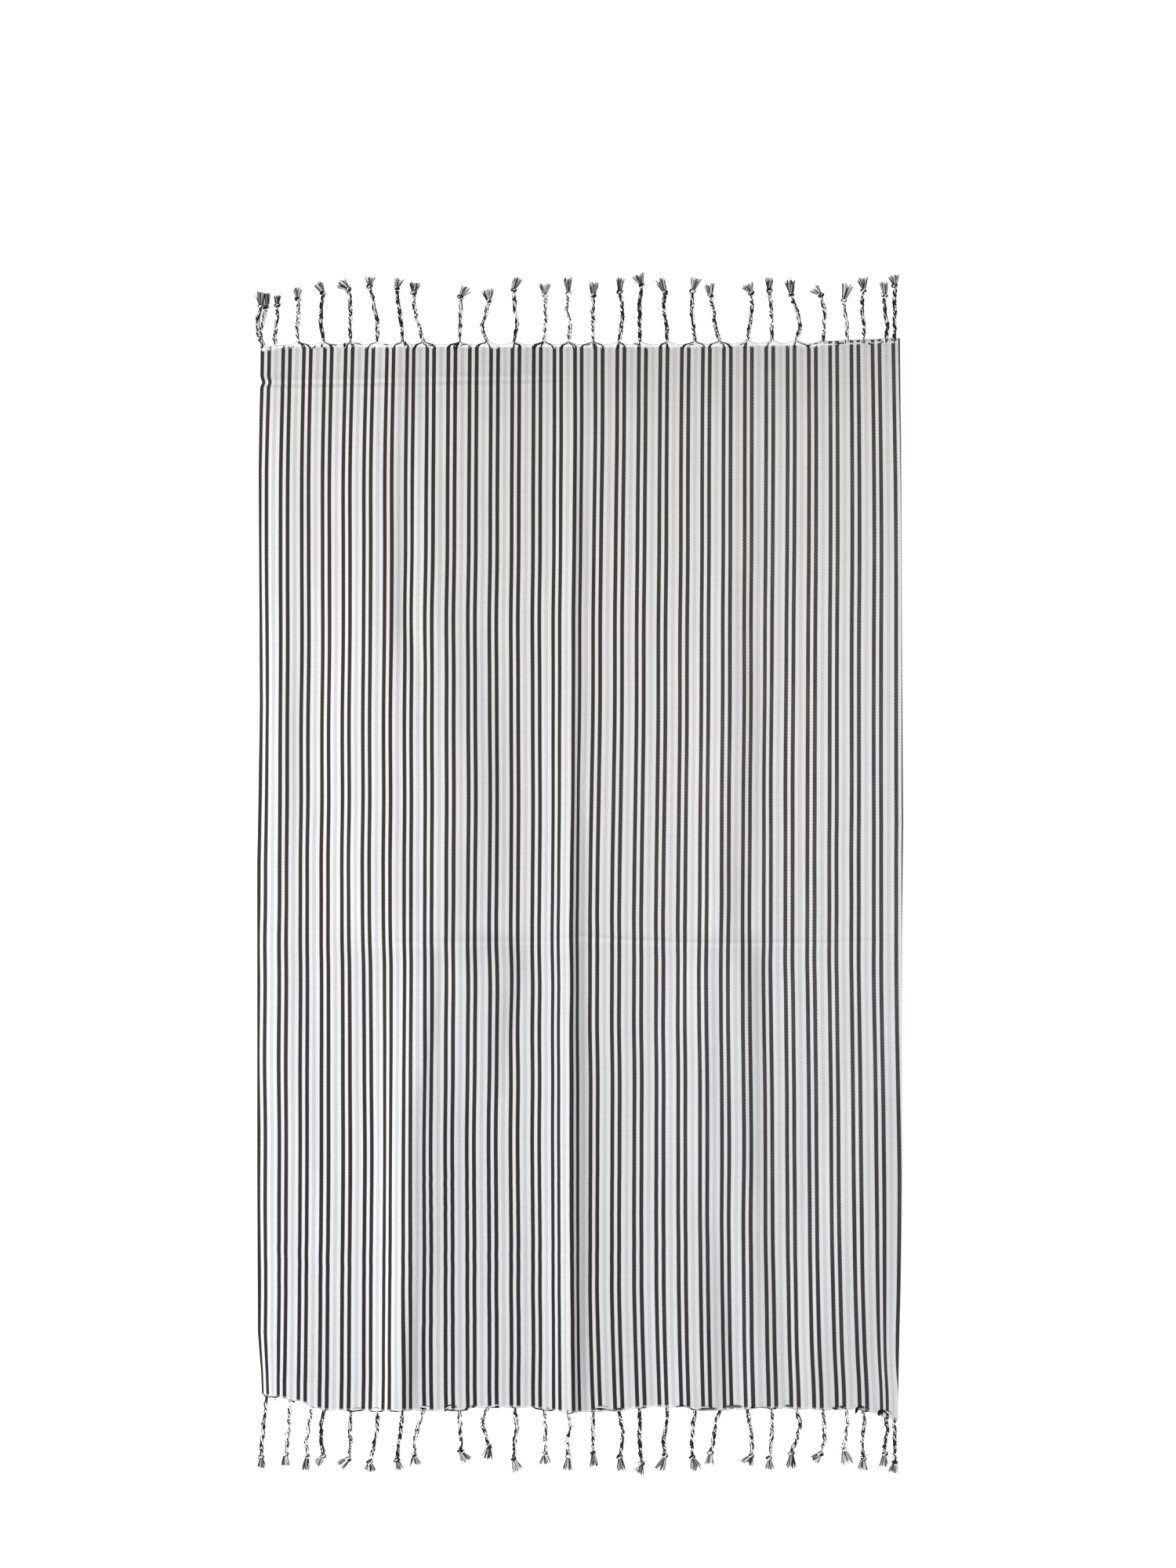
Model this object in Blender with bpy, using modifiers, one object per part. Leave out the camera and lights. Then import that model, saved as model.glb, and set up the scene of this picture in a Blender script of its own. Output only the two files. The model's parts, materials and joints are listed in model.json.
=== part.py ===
"""Hammam towel laid out flat: a striped cotton sheet with low lengthwise folds, and a
twisted, knotted fringe fused to a narrow strip along each of its two ends.

Tables are in millimetres and Blender's scene in metres.  +X runs across the towel,
+Y runs along its stripes and +Z points up from the surface that it lies on.  The origin
is on that surface, under the middle of the towel.
"""
import math

import bmesh
import bpy

MM = 0.001

# --- Driving sizes, in millimetres ------------------------------------------------------
CLOTH_THICKNESS = 2.0
STRIP_WIDTH = 7.0       # the woven end that each row of tassels is knotted into
STRIP_GAP = 0.6         # between the sheet and that strip
CREST_ROUNDING = 3.0    # radius-like softening on top of a sharp fold

ROOT_HALF_WIDTH = 3.0   # half of a cord where it leaves the strip
GATHER = 12.0           # how far to each side a tassel draws the woven end out
GATHER_REACH = 3.0      # how far the woven end is drawn out at a tassel

CORD_HALF_WIDTH = 3.5
CORD_HALF_HEIGHT = 2.5
CORD_RINGS = 7
TWIST_STEP = math.radians(45.0)   # turn of a cord's section from one ring to the next
SETTLE_LENGTH = 22.0    # a cord comes down from the strip to the surface in this length

KNOT_HALF_LENGTH = 5.0
KNOT_HALF_WIDTH = 4.8
KNOT_HALF_HEIGHT = 3.6
BRUSH_ROOT_WIDTH = 8.0
BRUSH_ROOT_HEIGHT = 3.6
LOCKS = 4
LOCK_SPACE = 0.5        # between two locks where they leave the knot
LOCK_SECTIONS = ((0.55, 0.86, 2.2), (1.0, 0.5, 1.0))  # share of the way out, fill, height
LOCK_REACH = (1.0, 0.88, 0.97, 0.92)                   # share of the brush's length, lock by lock
HEADING_STEP = 0.02     # share of a cord's length over which its heading is read

# --- Outline: each edge as (place along it, place of the edge) ---------------------------
LEFT_EDGE = (
    (790, -480), (745, -480), (737, -477), (728, -480), (605, -482), (253, -480),
    (18, -484), (-452, -484), (-687, -483), (-746, -478), (-820, -475),
)
RIGHT_EDGE = (
    (805, 479), (605, 481), (370, 482), (75, 484), (-100, 482), (-452, 482),
    (-620, 480), (-746, 477), (-820, 476),
)
TOP_END = ((-482, 785), (-435, 790), (150, 790), (341, 793), (362, 798), (480, 803))
BOTTOM_END = (
    (-480, -779), (-462, -780), (-439, -785), (-410, -793), (-390, -801), (-341, -805),
    (188, -805), (212, -801), (376, -801), (411, -797), (430, -800), (449, -810), (480, -819),
)

# --- Folds --------------------------------------------------------------------------------
# One table per lengthwise fold, with a row for each place along it:
# y, crest x, crest height, run of the left flank, run of the right flank
CENTRE_RIDGE = (
    (805, -7, 8, 34, 30), (370, -12, 10, 38, 32), (18, -15, 14, 42, 36),
    (-452, -15, 16, 42, 38), (-687, -15, 16, 42, 38), (-820, -13, 13, 42, 36),
)
UPPER_LEFT_RIDGE = (
    (805, -268, 5, 50, 22), (735, -272, 3, 70, 22), (546, -286, 6, 120, 28),
    (311, -286, 9, 130, 28), (100, -284, 9, 130, 28), (-60, -278, 4, 120, 30),
    (-104, -274, 0, 120, 30),
)
INNER_RISE = (
    (700, -205, 0, 55, 110), (546, -200, 5, 58, 120), (311, -198, 7, 60, 120),
    (0, -196, 7, 64, 120), (-76, -196, 4, 66, 110), (-130, -196, 0, 66, 110),
)
LOWER_LEFT_RIDGE = (
    (-96, -234, 0, 110, 38), (-159, -237, 9, 115, 38), (-245, -243, 12, 100, 44),
    (-429, -253, 16, 74, 58), (-617, -262, 15, 66, 40), (-711, -266, 13, 62, 32),
    (-820, -274, 11, 58, 28),
)
LEFT_BORDER = (
    (805, -452, 1, 30, 30), (605, -452, 3, 30, 36), (311, -450, 6, 32, 38),
    (-159, -450, 6, 34, 38), (-452, -452, 3, 32, 34), (-687, -450, 4, 32, 32),
    (-820, -450, 7, 26, 44),
)
UPPER_RIGHT_RIDGE = (
    (805, 226, 1, 40, 36), (605, 228, 5, 60, 48), (370, 228, 8, 60, 50),
    (100, 226, 8, 60, 50), (-60, 222, 5, 52, 46), (-104, 218, 0, 50, 44),
)
LOWER_RIGHT_RIDGE = (
    (-96, 198, 0, 50, 36), (-159, 194, 8, 50, 34), (-452, 190, 7, 48, 34),
    (-687, 190, 8, 46, 32), (-820, 188, 4, 42, 30),
)
RIGHT_DIMPLE = (
    (-190, 246, 0, 34, 40), (-300, 244, 4, 34, 40), (-420, 244, 5, 34, 40),
    (-530, 242, 3, 32, 60), (-700, 238, 3, 30, 70), (-790, 238, 0, 30, 60),
)
CORNER_RISE = (
    (-300, 452, 0, 70, 40), (-370, 441, 3, 70, 44), (-488, 417, 6, 72, 56),
    (-605, 388, 7, 72, 62), (-746, 362, 7, 66, 62), (-820, 350, 4, 60, 60),
)
SLANTED_RISE = (
    (-104, -110, 0, 46, 34), (-140, -114, 4, 46, 34), (-220, -125, 5, 46, 34),
    (-288, -136, 3, 44, 32), (-350, -140, 0, 44, 32),
)
SOFT_FOLDS = (
    UPPER_LEFT_RIDGE, INNER_RISE, LOWER_LEFT_RIDGE, LEFT_BORDER, UPPER_RIGHT_RIDGE,
    LOWER_RIGHT_RIDGE, RIGHT_DIMPLE, CORNER_RISE, SLANTED_RISE,
)
SHARP_FOLDS = (CENTRE_RIDGE,)

# Two creases left across the towel by its packing.  Each row: x, crease y, height
CREASE_HALF_WIDTH = 6.0
UPPER_CREASE = (
    (-484, 733, 1.6), (-300, 736, 2.2), (-258, 737, 0.6), (-220, 738, 2.0), (-60, 741, 1.6),
    (0, 742, 0.0), (484, 745, 0.0),
)
LOWER_CREASE = (
    (-484, -104, 0.0), (-360, -104, 0.0), (-320, -103, 1.8), (-47, -100, 2.0), (-2, -93, 2.0),
    (60, -98, 2.2), (165, -103, 2.2), (352, -103, 2.2), (430, -100, 1.4), (460, -100, 0.0),
    (484, -100, 0.0),
)

# --- Guide lines of the sheet's mesh --------------------------------------------------------
# A column of points is kept on each crest and foot.  Column number, then its (y, x) line;
# None stands for the towel's own left or right edge
COLUMN_GUIDES = (
    (0, None),
    (2, ((805, -452), (-820, -450))),
    (4, ((805, -414), (-820, -410))),
    (10, ((805, -268), (735, -272), (546, -286), (100, -284), (-60, -278), (-104, -258),
          (-159, -237), (-245, -243), (-429, -253), (-617, -262), (-820, -274))),
    (12, ((805, -246), (546, -258), (100, -256), (-60, -248), (-104, -220), (-159, -199),
          (-245, -199), (-429, -197), (-617, -222), (-820, -246))),
    (18, ((805, -42), (18, -57), (-820, -55))),
    (21, ((805, -7), (370, -12), (18, -15), (-687, -15), (-820, -13))),
    (24, ((805, 23), (18, 21), (-820, 23))),
    (29, ((805, 184), (-60, 170), (-159, 144), (-820, 146))),
    (31, ((805, 226), (-60, 222), (-159, 194), (-820, 188))),
    (33, ((805, 264), (-60, 268), (-159, 228), (-820, 220))),
    (40, None),
)
# Row number, then the line that it keeps to
ROW_GUIDES = (
    (0, "bottom"), (13, "below crease"), (14, "lower crease"), (15, "above crease"),
    (27, "below upper crease"), (28, "upper crease"), (29, "above upper crease"), (30, "top"),
)

# --- Tassels --------------------------------------------------------------------------------
# x where it leaves the cloth, x a third and two thirds of the way down, x and distance from
# the towel's middle of its knot, the same for the end of its brush, width of the brush there
TOP_CORNER_TASSELS = (
    (-476, -481, -480, -480, 852, -480, 873, 6),
    (-467, -470, -469, -467, 849, -467, 868, 6),
    (-457, -457, -454, -454, 852, -454, 867, 8),
    (-423, -424, -422, -423, 861, -425, 879, 11),
)
BOTTOM_CORNER_TASSELS = (
    (-470, -473, -476, -478, 872, -477, 890, 8),
    (-434, -436, -438, -441, 868, -442, 886, 12),
    (-402, -406, -410, -409, 871, -412, 893, 9),
)
SHARED_TASSELS = (
    (-384, -388, -388, -385, 870, -394, 886, 10),
    (-344, -345, -344, -347, 875, -361, 887, 12),
    (-304, -304, -309, -315, 880, -315, 895, 12),
    (-266, -268, -272, -275, 877, -270, 893, 10),
    (-235, -242, -248, -249, 870, -247, 886, 13),
    (-181, -180, -179, -179, 864, -170, 880, 13),
    (-139, -147, -142, -137, 857, -139, 876, 13),
    (-99, -95, -98, -100, 875, -93, 894, 11),
    (-54, -53, -52, -53, 867, -53, 885, 14),
    (-18, -15, -20, -18, 870, -20, 893, 10),
    (19, 19, 19, 19, 866, 22, 887, 10),
    (58, 62, 63, 59, 872, 61, 894, 9),
    (89, 89, 89, 92, 882, 86, 898, 13),
    (130, 129, 125, 127, 870, 119, 892, 10),
    (172, 169, 167, 168, 873, 174, 893, 12),
    (209, 202, 200, 195, 866, 193, 884, 10),
    (250, 254, 257, 256, 870, 249, 884, 14),
    (287, 287, 286, 283, 874, 284, 893, 9),
    (323, 329, 324, 316, 867, 315, 890, 12),
    (363, 365, 366, 360, 867, 349, 878, 12),
    (398, 400, 397, 394, 860, 401, 884, 14),
    (424, 425, 422, 424, 874, 423, 893, 12),
    (457, 460, 456, 456, 867, 454, 887, 9),
    (470, 471, 471, 471, 881, 469, 897, 11),
)


# --- Reading the tables -----------------------------------------------------------------------
def smooth(t):
    """Ease from 0 to 1 with level ends."""
    t = min(1.0, max(0.0, t))
    return t * t * (3.0 - 2.0 * t)


def straight_between(rows, place):
    """Read a two-column table at a place, in straight runs."""
    rows = sorted(rows)
    if place <= rows[0][0]:
        return rows[0][1]
    for (start, first), (stop, last) in zip(rows, rows[1:]):
        if place <= stop:
            return first + (last - first) * (place - start) / (stop - start)
    return rows[-1][1]


def curve_between(rows, place):
    """Read every other column of a table at a place, on a smooth curve through its rows."""
    rows = sorted(rows)
    place = min(rows[-1][0], max(rows[0][0], place))
    last = len(rows) - 1
    index = max(i for i in range(last) if rows[i][0] <= place)
    start, stop = rows[index], rows[index + 1]
    before, after = rows[max(0, index - 1)], rows[min(last, index + 2)]
    span = stop[0] - start[0]
    t = (place - start[0]) / span
    values = []
    for column in range(1, len(start)):
        slope_in = (stop[column] - before[column]) / (stop[0] - before[0]) * span
        slope_out = (after[column] - start[column]) / (after[0] - start[0]) * span
        values.append(
            (2 * t**3 - 3 * t**2 + 1) * start[column] + (t**3 - 2 * t**2 + t) * slope_in
            + (3 * t**2 - 2 * t**3) * stop[column] + (t**3 - t**2) * slope_out)
    return values


# --- Height of the sheet's underside ----------------------------------------------------------
def fold_height(table, sharp, x, y):
    """How far one lengthwise fold lifts the sheet at a point."""
    low, high = sorted((table[0][0], table[-1][0]))
    if not low < y < high:
        return 0.0
    crest, height, left_run, right_run = curve_between(table, y)
    offset = x - crest
    run = left_run if offset < 0 else right_run
    if sharp:
        distance = math.sqrt(offset**2 + CREST_ROUNDING**2) - CREST_ROUNDING
        share = max(0.0, 1.0 - distance / run) ** 2
    else:
        share = 0.5 + 0.5 * math.cos(math.pi * min(1.0, abs(offset) / run))
    return max(0.0, height) * share


def crease_height(table, x, y):
    """How far one crease across the towel lifts the sheet at a point."""
    crest = straight_between([row[:2] for row in table], x)
    height = straight_between([(row[0], row[2]) for row in table], x)
    return height * smooth(1.0 - abs(y - crest) / CREASE_HALF_WIDTH)


def cloth_height(x, y):
    """Height of the sheet's underside above the surface: nought where it lies on it."""
    lift = sum(fold_height(table, False, x, y) for table in SOFT_FOLDS)
    lift += sum(fold_height(table, True, x, y) for table in SHARP_FOLDS)
    lift += crease_height(UPPER_CREASE, x, y) + crease_height(LOWER_CREASE, x, y)
    return lift


# --- The sheet ----------------------------------------------------------------------------------
def row_line(name, x):
    """Place along the towel of one of the row guides, at a place across it."""
    upper = straight_between([row[:2] for row in UPPER_CREASE], x)
    lower = straight_between([row[:2] for row in LOWER_CREASE], x)
    return {
        "bottom": straight_between(BOTTOM_END, x) + STRIP_WIDTH,
        "below crease": lower - CREASE_HALF_WIDTH,
        "lower crease": lower,
        "above crease": lower + CREASE_HALF_WIDTH,
        "below upper crease": upper - CREASE_HALF_WIDTH,
        "upper crease": upper,
        "above upper crease": upper + CREASE_HALF_WIDTH,
        "top": straight_between(TOP_END, x) - STRIP_WIDTH,
    }[name]


def column_line(index, y):
    """Place across the towel of one column of points, at a place along it."""
    lines = {
        0: straight_between(LEFT_EDGE, y),
        COLUMN_GUIDES[-1][0]: straight_between(RIGHT_EDGE, y),
    }
    lines.update({number: straight_between(line, y) for number, line in COLUMN_GUIDES if line})
    return straight_between(list(lines.items()), index)


def sheet_point(column, row):
    """Place of one point of the sheet, from its column and row."""
    rough_y = straight_between([(number, row_line(name, 0.0)) for number, name in ROW_GUIDES], row)
    rough_x = column_line(column, rough_y)
    y = straight_between([(number, row_line(name, rough_x)) for number, name in ROW_GUIDES], row)
    x = column_line(column, y)
    return x, y, cloth_height(x, y)


def make_sheet():
    """The woven sheet: a grid laid along the folds, given its thickness upwards."""
    columns, rows = COLUMN_GUIDES[-1][0], ROW_GUIDES[-1][0]
    shape = bmesh.new()
    bmesh.ops.create_grid(shape, x_segments=columns, y_segments=rows, size=1.0)
    for point in shape.verts:
        column = round((point.co.x + 1.0) / 2.0 * columns)
        row = round((point.co.y + 1.0) / 2.0 * rows)
        point.co = [MM * value for value in sheet_point(column, row)]
    sheet = make_object("cloth", shape)
    solidify = sheet.modifiers.new("thickness", "SOLIDIFY")
    solidify.thickness = CLOTH_THICKNESS * MM
    solidify.offset = 1.0
    return sheet


# --- The fringes ----------------------------------------------------------------------------------
class Frame:
    """A place on the surface with a heading, for rings of points set across that heading."""

    def __init__(self, x, y, ahead_x, ahead_y):
        length = math.hypot(ahead_x, ahead_y)
        self.x, self.y = x, y
        self.ahead = (ahead_x / length, ahead_y / length)
        self.side = (-self.ahead[1], self.ahead[0])

    def seen(self, x, y):
        """A place as its distance across this heading and ahead along it."""
        offset = (x - self.x, y - self.y)
        return tuple(offset[0] * way[0] + offset[1] * way[1] for way in (self.side, self.ahead))

    def point(self, across, height, forward=0.0):
        return (
            MM * (self.x + across * self.side[0] + forward * self.ahead[0]),
            MM * (self.y + across * self.side[1] + forward * self.ahead[1]),
            MM * height,
        )


def four_sided_ring(shape, frame, half_width, half_height, turn, lift):
    """Four points across a heading, turned, with the lowest of them at the given lift."""
    angles = [turn + math.radians(90.0 * k - 45.0) for k in range(4)]
    corners = [(half_width * math.cos(a), half_height * math.sin(a)) for a in angles]
    lowest = min(height for _, height in corners)
    return [shape.verts.new(frame.point(across, height - lowest + lift))
            for across, height in corners]


def bridge(shape, first, second):
    """Four sides between two rings of four points."""
    for k in range(4):
        shape.faces.new((first[k], first[(k + 1) % 4], second[(k + 1) % 4], second[k]))


def add_lock(shape, root, knot_end, pitches, tip_across, tip_forward):
    """One lock of the brush, tapering from its place on the knot out over the surface."""
    root_across, ring = root
    root_pitch, tip_pitch = pitches
    for share, fill, height in LOCK_SECTIONS:
        centre = root_across + (tip_across - root_across) * share
        width = fill * (root_pitch + (tip_pitch - root_pitch) * share)
        edges = (centre + width / 2, centre + width / 2, centre - width / 2, centre - width / 2)
        following = [shape.verts.new(knot_end.point(across, rise, tip_forward * share))
                     for across, rise in zip(edges, (0.0, height, height, 0.0))]
        bridge(shape, ring, following)
        ring = following
    shape.faces.new(ring)


def add_brush(shape, knot_ring, knot_end, tip, width):
    """The end of the knot, as a row of places for locks with narrow spaces between them."""
    lock_width = (BRUSH_ROOT_WIDTH - LOCK_SPACE * (LOCKS - 1)) / LOCKS
    marks = []
    for index in range(LOCKS):
        start = BRUSH_ROOT_WIDTH / 2 - index * (lock_width + LOCK_SPACE)
        marks += [start, start - lock_width]
    floor = [shape.verts.new(knot_end.point(across, 0.0)) for across in marks]
    roof = [shape.verts.new(knot_end.point(across, BRUSH_ROOT_HEIGHT)) for across in marks]
    shape.faces.new((knot_ring[0], knot_ring[1], roof[0], floor[0]))
    shape.faces.new([knot_ring[1], knot_ring[2]] + roof[::-1])
    shape.faces.new((knot_ring[2], knot_ring[3], floor[-1], roof[-1]))
    shape.faces.new([knot_ring[3], knot_ring[0]] + floor)
    across, forward = knot_end.seen(*tip)
    pitches = (lock_width + LOCK_SPACE, width / LOCKS)
    for slot in range(len(marks) - 1):
        ring = [floor[slot], roof[slot], roof[slot + 1], floor[slot + 1]]
        if slot % 2:
            shape.faces.new(ring)
            continue
        lock = slot // 2
        root_across = (marks[slot] + marks[slot + 1]) / 2
        spread = pitches[1] * ((LOCKS - 1) / 2 - lock)
        add_lock(shape, (root_across, ring), knot_end, pitches,
                 across + spread, forward * LOCK_REACH[lock])


def add_tassel(shape, root_ring, root_y, root_lift, side, tassel):
    """One tassel: a twisted cord from its root, its knot and its brush of locks."""
    root_x, high_x, low_x, knot_x, knot_y, tip_x, tip_y, width = tassel
    knot_y, tip_y = side * knot_y, side * tip_y
    run = knot_y - side * KNOT_HALF_LENGTH - root_y
    path = ((0.0, root_x), (1 / 3, high_x), (2 / 3, low_x), (1.0, knot_x))
    ring = root_ring
    for step in range(1, CORD_RINGS + 1):
        share = step / CORD_RINGS
        here = curve_between(path, share)[0]
        before = curve_between(path, share - HEADING_STEP)[0]
        frame = Frame(here, root_y + run * share, here - before, run * HEADING_STEP)
        lift = root_lift * (1.0 - smooth(abs(run) * share / SETTLE_LENGTH))
        following = four_sided_ring(
            shape, frame, CORD_HALF_WIDTH, CORD_HALF_HEIGHT, TWIST_STEP * (step % 2), lift)
        bridge(shape, ring, following)
        ring = following
    lean = math.atan2(tip_x - knot_x, abs(tip_y - knot_y))
    for forward, turned in ((-KNOT_HALF_LENGTH / 2, 0.0), (KNOT_HALF_LENGTH / 3, 0.4)):
        frame = Frame(knot_x, knot_y + side * forward,
                      math.sin(lean * turned), side * math.cos(lean * turned))
        following = four_sided_ring(shape, frame, KNOT_HALF_WIDTH * math.sqrt(2),
                                    KNOT_HALF_HEIGHT * math.sqrt(2), 0.0, 0.0)
        bridge(shape, ring, following)
        ring = following
    ahead_x, ahead_y = math.sin(0.8 * lean), side * math.cos(0.8 * lean)
    knot_end = Frame(knot_x + KNOT_HALF_LENGTH * ahead_x, knot_y + KNOT_HALF_LENGTH * ahead_y,
                     ahead_x, ahead_y)
    add_brush(shape, ring, knot_end, (tip_x, tip_y), width)


def strip_stations(tassels, left, right):
    """Places across the strip as (x, how far it is drawn out, tassel that starts there)."""
    roots = [tassel[0] for tassel in tassels]
    stations = [(left, 0.0, None)]
    for index, root in enumerate(roots):
        space_before = root - roots[index - 1] if index else 2 * (root - left)
        last = index == len(roots) - 1
        space_after = 2 * (right - root) if last else roots[index + 1] - root
        before = root - min(GATHER, space_before / 2)
        after = root + min(GATHER, space_after / 2)
        if before > stations[-1][0] + 0.5:
            stations.append((before, 0.0, None))
        stations.append((root - ROOT_HALF_WIDTH, GATHER_REACH, tassels[index]))
        stations.append((root + ROOT_HALF_WIDTH, GATHER_REACH, None))
        if after < right - 0.5:
            stations.append((after, 0.0, None))
    stations.append((right, 0.0, None))
    return stations


def make_fringe(name, end, side, tassels):
    """A strip of woven end with its tassels.  side is +1 at the top end, -1 at the bottom."""
    row = ROW_GUIDES[-1][0] if side > 0 else 0
    seam = [sheet_point(column, row)[:2] for column in range(COLUMN_GUIDES[-1][0] + 1)]
    left, right = seam[0][0], seam[-1][0]
    shape = bmesh.new()
    sections = []
    for x, reach, tassel in strip_stations(tassels, left, right):
        outer = straight_between(end, x) + side * reach
        inner = straight_between(seam, x) + side * STRIP_GAP
        section = []
        for y, rise in ((inner, 0.0), (inner, 1.0), (outer, 1.0), (outer, 0.0)):
            height = cloth_height(x, y) + rise * CLOTH_THICKNESS
            section.append(shape.verts.new((MM * x, MM * y, MM * height)))
        sections.append((x, outer, tassel, section))
    for (_, _, tassel, here), (_, _, _, there) in zip(sections, sections[1:]):
        for k in range(4):
            if k == 2 and tassel:
                continue
            shape.faces.new((here[k], here[(k + 1) % 4], there[(k + 1) % 4], there[k]))
    shape.faces.new(sections[0][3])
    shape.faces.new(sections[-1][3])
    for (_, outer, tassel, here), (_, _, _, there) in zip(sections, sections[1:]):
        if not tassel:
            continue
        left_bottom, left_top = here[3], here[2]
        right_bottom, right_top = there[3], there[2]
        root = (left_bottom, left_top, right_top, right_bottom)
        if side < 0:
            root = (right_bottom, right_top, left_top, left_bottom)
        add_tassel(shape, root, outer, cloth_height(tassel[0], outer), side, tassel)
    bmesh.ops.recalc_face_normals(shape, faces=shape.faces)
    return make_object(name, shape)


# --- Objects and materials --------------------------------------------------------------------------
def make_object(name, shape):
    """Turn a bmesh into a named object in the towel's collection."""
    mesh = bpy.data.meshes.new(name)
    shape.to_mesh(mesh)
    shape.free()
    new_object = bpy.data.objects.new(name, mesh)
    towel.objects.link(new_object)
    return new_object


def give_material(target, name, colour, roughness):
    """One plain cotton finish."""
    material = bpy.data.materials.new(name)
    material.use_nodes = True
    shader = material.node_tree.nodes["Principled BSDF"]
    shader.inputs["Base Color"].default_value = (*colour, 1.0)
    shader.inputs["Roughness"].default_value = roughness
    shader.inputs["Metallic"].default_value = 0.0
    target.data.materials.append(material)


for old in list(bpy.data.objects):
    bpy.data.objects.remove(old, do_unlink=True)

towel = bpy.data.collections.new("hammam_towel")
bpy.context.scene.collection.children.link(towel)

sheet = make_sheet()
give_material(sheet, "striped_cotton", (0.60, 0.59, 0.58), 0.9)
top_fringe = make_fringe("fringe_top", TOP_END, 1, TOP_CORNER_TASSELS + SHARED_TASSELS)
give_material(top_fringe, "fringe_yarn_top", (0.36, 0.35, 0.34), 0.9)
bottom_fringe = make_fringe("fringe_bottom", BOTTOM_END, -1, BOTTOM_CORNER_TASSELS + SHARED_TASSELS)
give_material(bottom_fringe, "fringe_yarn_bottom", (0.36, 0.35, 0.34), 0.9)
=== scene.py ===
# %% [markdown]
# # A striped hammam towel, laid out flat
# The real thing is one length of flat-woven cotton with two selvedges.  Its warp makes narrow
# lengthwise stripes, and at each end the warp is left long, gathered into small bundles, plaited
# into cords and knotted.  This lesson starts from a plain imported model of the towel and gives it
# its looks: the folds that it lies in, the woven stripes and twill, and the yarns of the fringe.
#
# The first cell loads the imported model.  Everything after it is in the same frame: +X across the
# towel, +Y along its stripes, +Z up, with the origin on the surface under the towel's middle.

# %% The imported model
import json
import math

import bpy
import numpy as np
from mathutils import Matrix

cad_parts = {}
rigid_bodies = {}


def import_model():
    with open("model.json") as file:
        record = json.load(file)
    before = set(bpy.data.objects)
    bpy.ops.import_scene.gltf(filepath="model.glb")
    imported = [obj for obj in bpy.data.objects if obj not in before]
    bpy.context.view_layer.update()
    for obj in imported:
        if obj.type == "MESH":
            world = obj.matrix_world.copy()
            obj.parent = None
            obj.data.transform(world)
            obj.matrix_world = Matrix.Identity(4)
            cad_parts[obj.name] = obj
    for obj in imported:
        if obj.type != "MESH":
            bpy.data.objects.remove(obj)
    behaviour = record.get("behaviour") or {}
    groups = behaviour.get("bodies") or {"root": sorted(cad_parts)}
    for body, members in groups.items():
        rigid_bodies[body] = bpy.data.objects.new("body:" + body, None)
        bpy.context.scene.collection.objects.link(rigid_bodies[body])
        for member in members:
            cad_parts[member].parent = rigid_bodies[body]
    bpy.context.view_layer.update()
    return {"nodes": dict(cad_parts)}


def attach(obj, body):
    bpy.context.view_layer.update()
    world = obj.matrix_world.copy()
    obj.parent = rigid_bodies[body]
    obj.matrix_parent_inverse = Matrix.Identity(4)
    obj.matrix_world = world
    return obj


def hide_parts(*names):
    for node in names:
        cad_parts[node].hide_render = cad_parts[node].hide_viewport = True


for left_over in list(bpy.data.objects):
    bpy.data.objects.remove(left_over, do_unlink=True)
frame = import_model()
MM = 0.001
print("packed nodes:", sorted(frame["nodes"]))

# %% [markdown]
# ## Camera
# The towel is seen from straight above.  A camera could be placed by eye, but here one pixel of
# the photograph is 1.175 mm on the towel, so the width of the picture in metres gives the lens:
# a long lens from 4.5 m up, which keeps the outline nearly free of perspective.

# %% Camera
PHOTO_WIDTH, PHOTO_HEIGHT = 1500, 2000        # pixels
MM_PER_PIXEL = 1.175
TOWEL_CENTRE_PX = (740, 1115)
CAMERA_HEIGHT = 4.5                           # metres
CAMERA_REACH = 50.0                           # metres, far past the edge of the floor
SENSOR_WIDTH = 36.0                           # mm


def in_scene(name, data):
    """A new object with this data, linked to the scene."""
    thing = bpy.data.objects.new(name, data)
    bpy.context.scene.collection.objects.link(thing)
    return thing


camera_data = bpy.data.cameras.new("camera")
camera_data.sensor_fit = "HORIZONTAL"
camera_data.sensor_width = SENSOR_WIDTH
camera_data.lens = SENSOR_WIDTH * CAMERA_HEIGHT / (PHOTO_WIDTH * MM_PER_PIXEL * MM)
camera_data.clip_end = CAMERA_REACH
camera = in_scene("camera", camera_data)
camera.location = (
    (PHOTO_WIDTH / 2 - TOWEL_CENTRE_PX[0]) * MM_PER_PIXEL * MM,
    (TOWEL_CENTRE_PX[1] - PHOTO_HEIGHT / 2) * MM_PER_PIXEL * MM,
    CAMERA_HEIGHT,
)
bpy.context.scene.camera = camera
print(f"camera: lens {camera_data.lens:.1f} mm at {tuple(round(v, 3) for v in camera.location)}")

# %% [markdown]
# ## Light and floor
# The folds show because their left sides are lighter than their right sides, so the main light is
# a large soft panel low on the left, a little towards the lower end.  A bright even sky fills the
# rest, which keeps the shadows pale.  The floor shines a little by itself, as a light table does,
# so it stays white close to the towel too.  Blender's standard view keeps whites white.

# %% Light and floor
KEY_WAY = (-0.86, -0.51)          # way to the panel on the plan, seen from the towel
KEY_HEIGHT_ANGLE = math.radians(36.0)
KEY_DISTANCE = 6.0                # metres
KEY_SIZE = 2.8                    # metres
KEY_POWER = 375.0                 # watts
SKY_STRENGTH = 0.68
WHITE = (1.0, 1.0, 1.0, 1.0)
FLOOR_SIZE = 12.0                 # metres
FLOOR_GAP = 0.0002                # keeps the floor clear of the towel's underside
FLOOR_COLOUR = (0.93, 0.93, 0.93, 1.0)
FLOOR_GLOW = 0.5
FLOOR_ROUGHNESS = 0.9

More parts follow.
